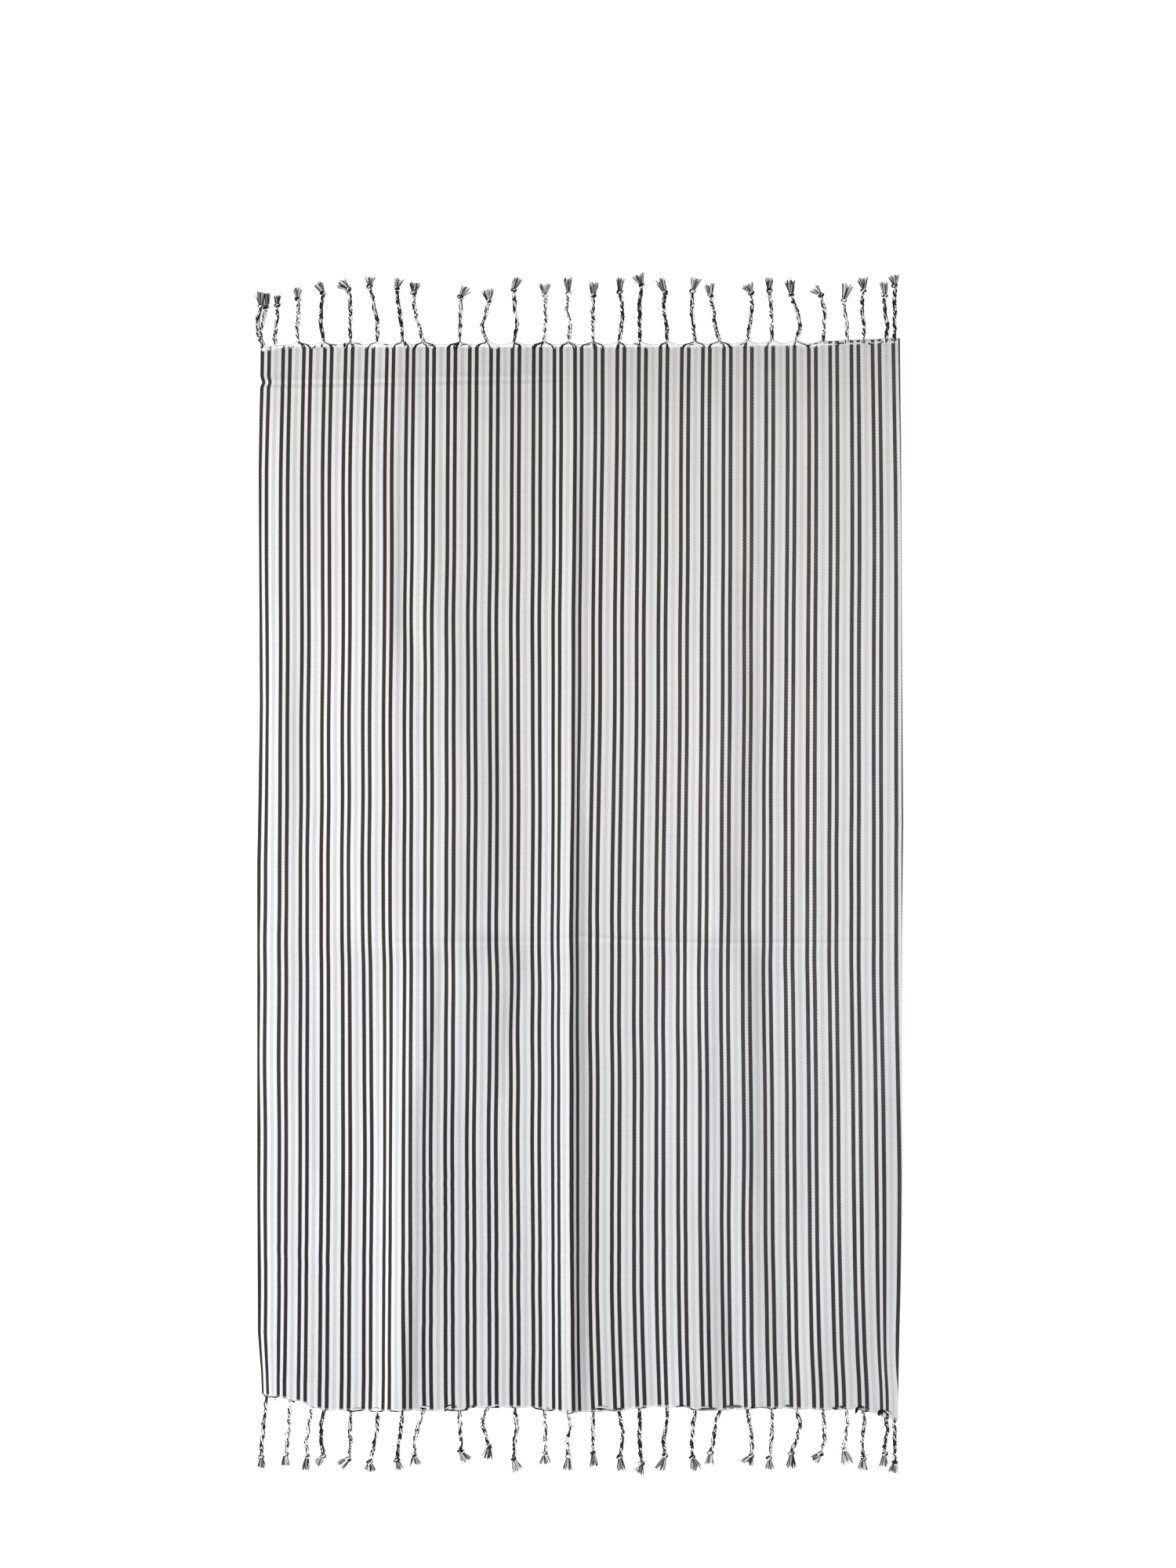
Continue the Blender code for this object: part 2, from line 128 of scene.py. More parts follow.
key_data = bpy.data.lights.new("key_panel", "AREA")
key_data.size = KEY_SIZE
key_data.energy = KEY_POWER
key = in_scene("key_panel", key_data)
flat_distance = KEY_DISTANCE * math.cos(KEY_HEIGHT_ANGLE)
key.location = (
    KEY_WAY[0] * flat_distance,
    KEY_WAY[1] * flat_distance,
    KEY_DISTANCE * math.sin(KEY_HEIGHT_ANGLE),
)
key.rotation_euler = key.location.to_track_quat("Z", "Y").to_euler()

sky = bpy.data.worlds.new("sky")
sky.use_nodes = True
sky.node_tree.nodes["Background"].inputs["Color"].default_value = WHITE
sky.node_tree.nodes["Background"].inputs["Strength"].default_value = SKY_STRENGTH
bpy.context.scene.world = sky
bpy.context.scene.view_settings.view_transform = "Standard"

floor_material = bpy.data.materials.new("light_table")
floor_material.use_nodes = True
floor_shader = floor_material.node_tree.nodes["Principled BSDF"]
floor_shader.inputs["Base Color"].default_value = FLOOR_COLOUR
floor_shader.inputs["Roughness"].default_value = FLOOR_ROUGHNESS
floor_shader.inputs["Emission Color"].default_value = WHITE
floor_shader.inputs["Emission Strength"].default_value = FLOOR_GLOW
floor_mesh = bpy.data.meshes.new("floor")
half = FLOOR_SIZE / 2
floor_mesh.from_pydata(
    [(x, y, -FLOOR_GAP) for x, y in ((-half, -half), (half, -half), (half, half), (-half, half))],
    [], [(0, 1, 2, 3)])
floor_mesh.materials.append(floor_material)
floor = in_scene("floor", floor_mesh)
print("key panel at", tuple(round(v, 2) for v in key.location))

# %% [markdown]
# ## Outline and folds
# The towel lies in low lengthwise folds, with two creases across from its packing.  They could be
# sculpted, but tables in millimetres can be read and changed: the outline, one table for each fold
# and one for each crease.  They began as the solid model's, so the detailed cloth lies on the
# solid one.  Then rows were set, and low steps added, until light and shade fell right.

# %% Tables of the outline
LEFT_EDGE = (
    (790, -480), (745, -480), (737, -477), (728, -480), (605, -482), (253, -480),
    (18, -484), (-452, -484), (-687, -483), (-746, -478), (-820, -475),
)
RIGHT_EDGE = (
    (805, 479), (605, 481), (370, 482), (75, 484), (-100, 482), (-452, 482),
    (-620, 480), (-746, 477), (-820, 476),
)
TOP_END = ((-482, 785), (-435, 790), (150, 790), (341, 793), (362, 798), (480, 803))
BOTTOM_END = (
    (-480, -779), (-462, -781), (-439, -784), (-414, -790), (-398, -798), (-382, -802),
    (-310, -803), (-262, -800), (-214, -803), (-166, -801), (-154, -798), (-80, -798),
    (-50, -801), (-22, -804), (50, -804), (66, -802), (98, -797), (154, -797), (186, -802),
    (230, -801), (270, -798), (330, -800), (378, -801), (402, -800), (424, -802), (442, -807),
    (460, -814), (480, -820),
)

# %% Tables of the folds
# y, crest x, crest height, run of the left flank, run of the right flank
CENTRE_RIDGE = (
    (805, -9, 1.5, 60, 20), (699, -10, 2.5, 60, 20), (605, -10, 3.8, 60, 22),
    (488, -11, 5.2, 60, 24), (370, -12, 6, 76, 23), (253, -14, 7.5, 84, 30),
    (135, -14.5, 9, 84, 22), (18, -15, 10.5, 82, 28), (-135, -16, 12.5, 80, 31),
    (-335, -15, 14, 80, 37), (-523, -14.5, 15.5, 80, 39), (-617, -14.5, 15.5, 80, 38),
    (-711, -14, 13.5, 82, 32), (-820, -13, 9, 76, 28),
)
UPPER_LEFT_RIDGE = (
    (805, -268, 3, 50, 22), (735, -272, 2.5, 70, 22), (605, -284, 3.5, 110, 34),
    (488, -286, 6.5, 125, 34), (370, -286, 9, 130, 36), (253, -284, 8.5, 130, 82),
    (135, -280, 8.5, 130, 115), (18, -278, 8.5, 130, 120), (-60, -274, 8, 120, 110),
    (-114, -270, 0, 110, 110),
)
INNER_RISE = (
    (735, -232, 0, 45, 60), (605, -230, 2, 45, 90), (488, -226, 5, 46, 110),
    (370, -225, 6.5, 50, 120), (253, -206, 9, 64, 120), (135, -184, 11.5, 82, 112),
    (18, -188, 10.5, 72, 110), (-60, -197, 8, 60, 100), (-114, -197, 0, 60, 100),
)
LOWER_LEFT_RIDGE = (
    (-84, -214, 0, 95, 420), (-135, -218, 8.5, 95, 400), (-190, -226, 11.5, 92, 300),
    (-241, -232, 13, 88, 260), (-335, -247, 14, 76, 205), (-429, -252, 15, 70, 190),
    (-617, -256, 15, 66, 190), (-711, -264, 12, 62, 170), (-770, -268, 10, 58, 150),
    (-820, -272, 8, 56, 140),
)
LOWER_LEFT_STEP = (
    (-84, -222, 0, 90, 24), (-140, -224, 1.5, 90, 24), (-241, -231, 2.5, 90, 20),
    (-335, -246, 1, 70, 20), (-560, -256, 1, 60, 20), (-650, -260, 3, 50, 20),
    (-711, -262, 5, 50, 20), (-820, -266, 5, 50, 20),
)
LEFT_BORDER = (
    (805, -452, 1, 30, 40), (605, -452, 2.5, 30, 60), (488, -452, 3, 30, 70),
    (370, -451, 4, 30, 50), (253, -450, 5.5, 32, 36), (135, -450, 5, 32, 38),
    (18, -450, 4.5, 32, 48), (-53, -450, 3.5, 32, 80), (-135, -450, 3.5, 32, 60),
    (-335, -450, 3.5, 32, 90), (-523, -452, 3, 32, 110), (-711, -452, 3.5, 32, 120),
    (-820, -450, 5, 30, 120),
)
UPPER_RIGHT_RIDGE = (
    (805, 218, 1, 60, 50), (605, 222, 2.5, 90, 50), (488, 222, 4.5, 100, 60),
    (370, 221, 6, 105, 60), (253, 220, 8.5, 110, 70), (135, 214, 8.5, 110, 76),
    (18, 208, 8.5, 108, 72), (-53, 203, 8, 98, 64), (-114, 202, 0, 90, 60),
)
LOWER_RIGHT_RIDGE = (
    (-84, 182, 0, 50, 40), (-135, 182, 4.5, 52, 40), (-241, 180, 6, 84, 40),
    (-335, 180, 6, 90, 40), (-429, 180, 4.5, 90, 40), (-523, 180, 5, 90, 50),
    (-617, 181, 7, 90, 58), (-711, 182, 8, 90, 66), (-820, 182, 5, 70, 60),
)
RIGHT_STEP = (
    (-84, 234, 0, 90, 60), (-135, 234, 9, 100, 56), (-241, 237, 8.5, 95, 52),
    (-335, 239, 7, 100, 50), (-429, 242, 7.5, 90, 48), (-523, 248, 5.5, 60, 46),
    (-617, 256, 5, 48, 48), (-711, 264, 5.5, 46, 56), (-820, 264, 4, 46, 56),
)
CORNER_RISE = (
    (-240, 455, 0, 70, 44), (-300, 448, 2, 78, 46), (-370, 436, 5, 84, 60),
    (-488, 416, 7.5, 90, 110), (-605, 390, 7, 92, 112), (-711, 366, 6, 84, 92),
    (-770, 352, 4, 74, 84), (-820, 342, 2, 66, 76),
)
SLANTED_RISE = (
    (-90, -110, 0, 46, 34), (-140, -114, 4, 46, 34), (-220, -125, 5, 46, 34),
    (-288, -136, 3, 44, 32), (-350, -140, 0, 44, 32),
)
SLANTED_STEP = (
    (-84, -172, 0, 46, 100), (-125, -172, 6.5, 46, 100), (-180, -173, 6.5, 46, 90),
    (-241, -174, 4.5, 42, 70), (-300, -178, 1.5, 40, 60), (-350, -180, 0, 40, 60),
)
# how the cloth falls away from a crest, to its left and to its right, and the table of the fold
FOLDS = (
    ("tail", "crest", CENTRE_RIDGE), ("soft", "soft", UPPER_LEFT_RIDGE),
    ("soft", "soft", INNER_RISE), ("soft", "tail", LOWER_LEFT_RIDGE),
    ("soft", "soft", LOWER_LEFT_STEP), ("soft", "soft", LEFT_BORDER),
    ("crest", "soft", UPPER_RIGHT_RIDGE), ("soft", "soft", LOWER_RIGHT_RIDGE),
    ("soft", "soft", RIGHT_STEP), ("soft", "soft", CORNER_RISE), ("soft", "soft", SLANTED_RISE),
    ("soft", "soft", SLANTED_STEP),
)
CREST_ROUNDING = 3.0                # mm from a sharp crest over which it is rounded
STEEPNESS = {"crest": 2, "tail": 3}   # of a sharp crest, and of one with a longer, thinner tail

# x, crease y, height: the upper one is a trough between two low shoulders, the lower a ridge
UPPER_CREASE = (
    (-484, 733, 1.3), (-300, 736, 1.6), (-258, 737, 0.5), (-220, 738, 1.5), (-60, 741, 1.1),
    (0, 742, 0.0), (484, 745, 0.0),
)
LOWER_CREASE = (
    (-484, -104, 0.0), (-360, -104, 0.0), (-320, -103, 0.5), (-47, -100, 0.7), (-2, -93, 1.0),
    (60, -98, 1.4), (165, -103, 1.4), (352, -103, 1.2), (430, -100, 0.8), (460, -100, 0.0),
    (484, -100, 0.0),
)
CREASE_HALF_WIDTH = 6.0

# %% Reading the tables
def smooth(t):
    """Ease from 0 to 1 with level ends."""
    t = np.clip(t, 0.0, 1.0)
    return t * t * (3.0 - 2.0 * t)


def straight_between(rows, places, column=1):
    """Read one column of a table at many places, in straight runs."""
    rows = sorted(rows)
    return np.interp(places, [row[0] for row in rows], [row[column] for row in rows])


def curve_between(rows, places):
    """Read every other column of a table at many places, on a smooth curve through its rows."""
    rows = np.array(sorted(rows), dtype=float)
    marks, values = rows[:, 0], rows[:, 1:].T
    last = len(marks) - 1
    places = np.clip(places, marks[0], marks[-1])
    index = np.clip(np.searchsorted(marks, places, side="right") - 1, 0, last - 1)
    before, after = np.maximum(index - 1, 0), np.minimum(index + 2, last)
    span = marks[index + 1] - marks[index]
    t = (places - marks[index]) / span
    start, stop = values[:, index], values[:, index + 1]
    slope_in = (stop - values[:, before]) / (marks[index + 1] - marks[before]) * span
    slope_out = (values[:, after] - start) / (marks[after] - marks[index]) * span
    return (
        (2 * t**3 - 3 * t**2 + 1) * start + (t**3 - 2 * t**2 + t) * slope_in
        + (3 * t**2 - 2 * t**3) * stop + (t**3 - t**2) * slope_out)


def flank(form, distance, run):
    """What share of a crest's height is left at a distance from it."""
    if form == "soft":
        return 0.5 + 0.5 * np.cos(np.pi * np.minimum(1.0, distance / run))
    rounded = np.sqrt(distance**2 + CREST_ROUNDING**2) - CREST_ROUNDING
    return np.maximum(0.0, 1.0 - rounded / run) ** STEEPNESS[form]


def fold_height(fold, x, y):
    """How far a lengthwise fold lifts the cloth."""
    left_form, right_form, table = fold
    crest, height, left_run, right_run = curve_between(table, y)
    offset = x - crest
    left = flank(left_form, np.abs(offset), left_run)
    right = flank(right_form, np.abs(offset), right_run)
    marks = [row[0] for row in table]
    inside = (y > min(marks)) & (y < max(marks))
    return np.where(inside, np.maximum(0.0, height) * np.where(offset < 0, left, right), 0.0)


print("folds:", len(FOLDS))

# %% [markdown]
# ## Small relief
# Between the folds the real cloth isn't quite flat.  It swells a little, more along than across,
# and short slanted wrinkles run off the left ridge.  Noise textures could give this, but a sum of
# a few long waves is smoother, and a small table places each wrinkle one by one.

# %% Small relief
SWELL_HEIGHT = 0.34
SWELL_WAVES = 14
SWELLS_ACROSS = (1 / 140, 1 / 52)       # waves a millimetre, fewest and most
SWELLS_ALONG = (1 / 900, 1 / 220)
# x, y, height, half length, half width, turn in degrees
WRINKLES = (
    (-206, -452, 1.3, 44, 7, 12), (-214, -474, 1.0, 34, 6, 16), (-210, -500, 1.2, 38, 7, 10),
    (-222, -524, 0.8, 26, 6, 8), (-228, -566, 0.9, 24, 6, 14), (-216, -716, 0.8, 26, 7, 8),
    (-236, -670, 0.7, 22, 6, 10), (-448, -560, 1.1, 30, 9, 24), (-440, -600, 0.9, 26, 9, 30),
    (-428, -758, 1.0, 34, 8, -8), (420, -660, 0.8, 60, 16, 74), (250, -560, 0.9, 40, 12, -70),
)
draw = np.random.default_rng(11)
wave_across = draw.uniform(*SWELLS_ACROSS, SWELL_WAVES) * draw.choice((-1, 1), SWELL_WAVES)
wave_along = draw.uniform(*SWELLS_ALONG, SWELL_WAVES)
wave_start = draw.uniform(0, 2 * math.pi, SWELL_WAVES)


def swell(x, y):
    """Low uneven waves over the whole cloth."""
    waves = [np.cos(2 * math.pi * (x * across + y * along) + start)
             for across, along, start in zip(wave_across, wave_along, wave_start)]
    return SWELL_HEIGHT * sum(waves) / math.sqrt(SWELL_WAVES)


def wrinkle_height(x, y):
    """Short soft ridges, each placed and turned by its own row."""
    lift = np.zeros(np.shape(x))
    for place_x, place_y, height, half_length, half_width, turn in WRINKLES:
        along_x, along_y = math.cos(math.radians(turn)), math.sin(math.radians(turn))
        along = (x - place_x) * along_x + (y - place_y) * along_y
        across = (y - place_y) * along_x - (x - place_x) * along_y
        lift += height * np.exp(-((along / half_length) ** 2) - (across / half_width) ** 2)
    return lift


def crease_height(x, y):
    """Two creases left across the towel by its packing."""
    upper = (y - straight_between(UPPER_CREASE, x)) / CREASE_HALF_WIDTH
    trough = straight_between(UPPER_CREASE, x, 2) * upper**2 * np.exp(1 - upper**2)
    lower = np.abs(y - straight_between(LOWER_CREASE, x)) / CREASE_HALF_WIDTH
    ridge = straight_between(LOWER_CREASE, x, 2) * smooth(1.0 - lower)
    return trough + ridge


def cloth_height(x, y):
    """Height of the cloth's underside above the surface: nought where it lies on it."""
    x, y = np.broadcast_arrays(np.asarray(x, dtype=float), np.asarray(y, dtype=float))
    lift = sum(fold_height(fold, x, y) for fold in FOLDS)
    return np.maximum(0.0, lift + crease_height(x, y) + wrinkle_height(x, y) + swell(x, y))


print(f"highest point of the cloth: {cloth_height(-15.0, -600.0):.1f} mm above the surface")

# %% [markdown]
# ## Tassels, as a table
# Each row is one tassel: where it leaves the cloth, how it wanders, where its knot lies and where
# its brush ends, as in the solid model.  The last columns are for looks: how many turns its plies
# make, how many of its nine yarns are dark, and how dark its brush is.  Most cords are plaited;
# those with few turns are only twisted.  The first few tassels differ at the two ends, and the
# rest lie as mirror images, so one table serves both.

# %% Tables of the tassels
# root x, x a third and two thirds on, knot x and distance from the towel's middle, the same for
# the end of the brush, width of the brush, turns, dark yarns, share of dark ends in the brush
TOP_CORNER_TASSELS = (
    (-476, -482, -483, -478, 850, -479, 873, 12, 3.5, 5, 0.8),
    (-473, -479, -475, -470, 848, -471, 870, 11, 4.0, 4, 0.7),
    (-457, -457, -454, -454, 852, -454, 867, 8, 3.5, 4, 0.7),
    (-423, -424, -422, -423, 861, -425, 879, 11, 4.0, 4, 0.5),
)
BOTTOM_CORNER_TASSELS = (
    (-470, -473, -476, -478, 872, -477, 890, 8, 3.5, 5, 0.8),
    (-434, -436, -438, -441, 868, -442, 886, 12, 4.0, 3, 0.5),
    (-402, -406, -410, -409, 871, -412, 893, 9, 3.0, 3, 0.5),
)
SHARED_TASSELS = (
    (-384, -388, -388, -385, 870, -394, 886, 10, 4.0, 7, 0.6),
    (-344, -345, -344, -347, 875, -361, 887, 12, 4.0, 5, 0.6),
    (-304, -304, -309, -315, 880, -315, 895, 12, 3.0, 5, 0.7),
    (-266, -268, -272, -275, 877, -270, 893, 10, 4.0, 6, 0.6),
    (-235, -242, -248, -249, 870, -247, 886, 13, 5.0, 4, 0.8),
    (-181, -180, -179, -179, 864, -170, 880, 13, 2.5, 4, 0.4),
    (-139, -147, -142, -137, 857, -139, 876, 13, 4.0, 5, 0.8),
    (-99, -95, -98, -100, 875, -93, 894, 11, 2.0, 5, 0.6),
    (-54, -53, -52, -53, 867, -53, 885, 14, 3.0, 3, 0.4),
    (-18, -15, -20, -18, 870, -20, 893, 10, 3.0, 3, 0.7),
    (19, 19, 19, 19, 866, 22, 887, 10, 3.5, 4, 0.7),
    (58, 62, 63, 59, 872, 61, 894, 9, 4.0, 6, 0.7),
    (89, 89, 89, 92, 882, 86, 898, 13, 4.0, 7, 0.6),
    (130, 129, 125, 127, 870, 119, 892, 10, 4.5, 6, 0.8),
    (172, 169, 167, 168, 873, 174, 893, 12, 3.0, 5, 0.6),
    (209, 202, 200, 195, 866, 193, 884, 10, 3.0, 5, 0.7),
    (250, 254, 257, 256, 870, 249, 884, 14, 4.0, 5, 0.8),
    (287, 287, 286, 283, 874, 284, 893, 9, 4.0, 4, 0.7),
    (323, 329, 324, 316, 867, 315, 890, 12, 3.0, 5, 0.8),
    (363, 365, 366, 360, 867, 349, 878, 12, 3.0, 4, 0.6),
    (398, 400, 397, 394, 860, 401, 884, 14, 3.0, 3, 0.7),
    (424, 425, 422, 424, 874, 423, 893, 12, 5.0, 5, 0.8),
    (457, 460, 456, 456, 867, 454, 887, 9, 3.0, 6, 0.6),
    (470, 471, 471, 471, 881, 469, 897, 11, 4.0, 6, 0.8),
)
ENDS = {
    "top": (1, TOP_END, TOP_CORNER_TASSELS + SHARED_TASSELS),
    "bottom": (-1, BOTTOM_END, BOTTOM_CORNER_TASSELS + SHARED_TASSELS),
}
# bits of the woven end that have rolled over, and grey strips (shade 0.3 to 0.4) along the rolled
# lower edge that are painted shadow, partly a dark underside: x, y, length, thickness, turn in
# degrees, shade
ROLLED_BITS_AND_SHADOWS = {
    "top": (
        (-464, 789, 4, 4.0, 90, 0.05), (-444, 790, 4, 4.0, 90, 0.05),
        (-437, 790, 3, 3.2, 90, 0.05), (-430, 791, 3, 2.6, 90, 0.05),
        (-398, 790, 5, 2.4, 60, 0.0), (-387, 792, 6, 2.6, 85, 0.0),
        (-370, 793, 12, 1.3, -5, 0.05), (-353, 793, 7, 3.6, 85, 0.0),
        (-333, 795, 12, 1.3, -10, 0.05), (-291, 793, 8, 1.2, -10, 0.1),
        (-262, 795, 8, 3.0, 78, 0.0), (-223, 792, 10, 1.4, -10, 0.05),
        (-176, 793, 9, 1.3, 12, 0.05), (-95, 794, 9, 1.4, -8, 0.05), (12, 793, 8, 1.2, 10, 0.1),
        (84, 794, 9, 1.4, -12, 0.05), (166, 793, 9, 1.3, 8, 0.1), (243, 794, 10, 1.4, 14, 0.05),
        (433, 795, 5, 2.4, -30, 0.1), (452, 797, 6, 2.0, 20, 0.1),
    ),
    "bottom": (
        (-469, -784, 5, 2.6, 35, 0.0), (-456, -786, 5, 1.8, 20, 0.05),
        (-429, -789, 5, 2.6, -25, 0.0), (-335, -801, 17, 2.6, 3, 0.85),
        (-307, -800, 13, 2.6, 8, 0.85), (-279, -802, 5, 1.6, 0, 0.4),
        (-237, -799, 7, 2.4, -28, 0.0), (-232, -797, 14, 2.2, -5, 0.9),
        (-201, -802, 6, 3.6, 35, 0.0), (-199, -799, 7, 1.6, 30, 0.95),
        (-196, -795, 6, 1.8, 5, 0.0), (-187, -797, 6, 1.2, -55, 0.2),
        (-171, -800, 5, 2.2, 50, 0.0), (-161, -797, 6, 2.0, -20, 0.0),
        (-164, -800, 9, 2.0, 15, 0.9), (-125, -798, 8, 2.8, -5, 0.0),
        (-126, -795, 9, 1.6, 12, 0.9), (-48, -799, 4, 2.2, 0, 0.0), (-19, -802, 4, 3.0, 60, 0.0),
        (30, -801, 18, 2.0, -3, 0.05), (46, -803, 16, 1.2, -2, 0.35),
        (32, -798, 16, 2.2, -4, 0.9), (58, -801, 9, 2.4, 0, 0.0), (97, -799, 5, 2.4, 0, 0.0),
        (150, -796, 16, 1.8, 8, 0.0), (190, -800, 27, 3.6, 2, 0.3), (186, -797, 16, 1.6, 0, 0.95),
        (229, -797, 26, 3.6, 0, 0.3), (258, -798, 8, 2.2, 0, 0.0), (272, -798, 22, 1.1, 0, 0.4),
        (310, -796, 7, 2.4, -15, 0.0), (381, -800, 8, 2.8, -25, 0.0),
        (391, -798, 7, 2.4, -30, 0.0), (414, -802, 10, 4.6, 75, 0.0),
        (422, -798, 9, 2.2, -28, 0.0), (448, -806, 9, 5.0, 80, 0.0),
        (456, -805, 10, 3.0, -32, 0.0), (461, -806, 10, 2.4, -30, 0.9),
        (471, -815, 4, 2.4, 70, 0.0),
    ),
}
print("tassels:", {name: len(tassels) for name, (_, _, tassels) in ENDS.items()})

# %% [markdown]
# ## The woven sheet
# The stripes of the real cloth are its warp yarns, so they follow the cloth over every fold: where
# it slopes they look closer together.  A flat plane with a picture of stripes would miss that.
# Here the points of each row are spaced by the length of cloth between them, measured over the
# folds, and the same length goes into the UV map.  A last table shifts the stripes by the few
# millimetres by which the warp has been pulled aside, and the end rows are drawn out at each
# tassel.

# %% Spacing of rows and columns
FLAT_WIDTH = 993.8         # of cloth, selvedge to selvedge, over the folds
FLAT_LENGTH = 1600.0
TURNED_UNDER = 2.0         # of the right selvedge, which has rolled out of sight
SHEET_THICKNESS = 1.6
COLUMN_STEP, ROW_STEP = 4.5, 9.0
# rough sizes, for spacing alone: end to crease to crease to end, and left and right of the ridge
FIELD_LENGTHS = (700.0, 840.0, 55.0)
FIELD_WIDTHS = (480.0, 530.0)
NEAR_EDGE = (0.0, 0.8, 2.0, 4.0)
NEAR_RIDGE = (0.0, 1.5, 3.2, 5.2, 7.6, 10.4, 13.6, 17.2)
NEAR_END = (0.0, 1.0, 2.6, 5.0, 8.5)
NEAR_CREASE = (0.0, 2.0, 4.0, 6.2, 9.0, 13.0)


def graded(length, near_start, near_stop, step):
    """Shares of a length: close together near its two ends, and evenly spaced between."""
    start, stop = np.array(near_start), length - np.array(near_stop)[::-1]
    count = max(2, math.ceil((stop[0] - start[-1]) / step) + 1)
    middle = np.linspace(start[-1], stop[0], count)
    return np.concatenate([start[:-1], middle, stop[1:]]) / length


row_shares = (
    graded(FIELD_LENGTHS[0], NEAR_END, NEAR_CREASE, ROW_STEP),
    graded(FIELD_LENGTHS[1], NEAR_CREASE, NEAR_CREASE, ROW_STEP),
    graded(FIELD_LENGTHS[2], NEAR_CREASE, NEAR_END, ROW_STEP),
)
left_shares = graded(FIELD_WIDTHS[0], NEAR_EDGE, NEAR_RIDGE, COLUMN_STEP)
right_shares = graded(FIELD_WIDTHS[1], NEAR_RIDGE, NEAR_EDGE, COLUMN_STEP)
print("columns:", len(left_shares) + len(right_shares) - 1, "rows:", sum(map(len, row_shares)) - 2)

# %% The woven ends, drawn out at each tassel
# x, bare band beyond the stripes, pull of a tassel, how far inside the end its cord starts
END_LOOKS = {
    "top": ((-482, 3.0, 0.5, 1.5), (-440, 3.0, 0.5, 1.5), (-424, 3.0, 6.0, 1.5),
            (320, 3.0, 6.0, 1.5), (362, 0.0, 1.0, 6.0), (482, 0.0, 1.0, 6.0)),
    "bottom": ((-482, 0.2, 2.0, 0.8), (482, 0.2, 2.0, 0.8)),
}
# x, and how many of the dark yarns there can be seen to lean towards a root
DARK_SHOWS = {
    "top": ((-482, 0.0), (-430, 0.0), (-420, 0.5), (320, 0.45), (350, 0.12), (482, 0.12)),
    "bottom": ((-482, 0.3), (482, 0.3)),
}
LONGEST_GATHER = 22.0
SHORTEST_GATHER = 4.0
GATHER_CURVE = 1.9
SELVEDGE = 477.0


def gathers(end_name):
    """Each root with the warp on its left and right that it gathers, up to half the space."""
    roots = sorted(tassel[0] for tassel in ENDS[end_name][2])
    bounds = [-SELVEDGE] + [(a + b) / 2 for a, b in zip(roots, roots[1:])] + [SELVEDGE]
    return [(root, min(LONGEST_GATHER, root - low), min(LONGEST_GATHER, high - root))
            for root, low, high in zip(roots, bounds, bounds[1:])]


def drawn_out(end_name, x):
    """How far the woven end is pulled out by its tassels, at many places across it."""
    pull = np.zeros(np.shape(x))
    for root, left_reach, right_reach in gathers(end_name):
        offset = x - root
        reach = np.maximum(SHORTEST_GATHER, np.where(offset < 0, left_reach, right_reach))
        share = np.maximum(0.0, 1.0 - np.abs(offset) / reach)
        pull = np.maximum(pull, share**GATHER_CURVE)
    return straight_between(END_LOOKS[end_name], x, 2) * pull


def end_line(end_name, x):
    """The edge of the woven end, at many places across it."""
    side, table, _ = ENDS[end_name]
    band = straight_between(END_LOOKS[end_name], x, 1)
    return straight_between(table, x) + side * (band + drawn_out(end_name, x))


def set_back(end_name, x):
    """How far inside the woven end a cord starts."""
    return straight_between(END_LOOKS[end_name], x, 3)


# %% Points of the sheet
SAMPLES_ACROSS = 1600
ROUNDS = 3                 # a row's line and its two ends depend on each other
LEFT_STRAIGHT = ((790, -480), (18, -483), (-820, -484))      # the selvedges without their bends
RIGHT_STRAIGHT = ((805, 480), (75, 483), (-820, 482))
BEND_FADE = 40.0           # a bend in a selvedge moves the stripes only this near to it
FOLD_TAKE_UP = 1.5         # the folds hold more cloth than their soft outline shows
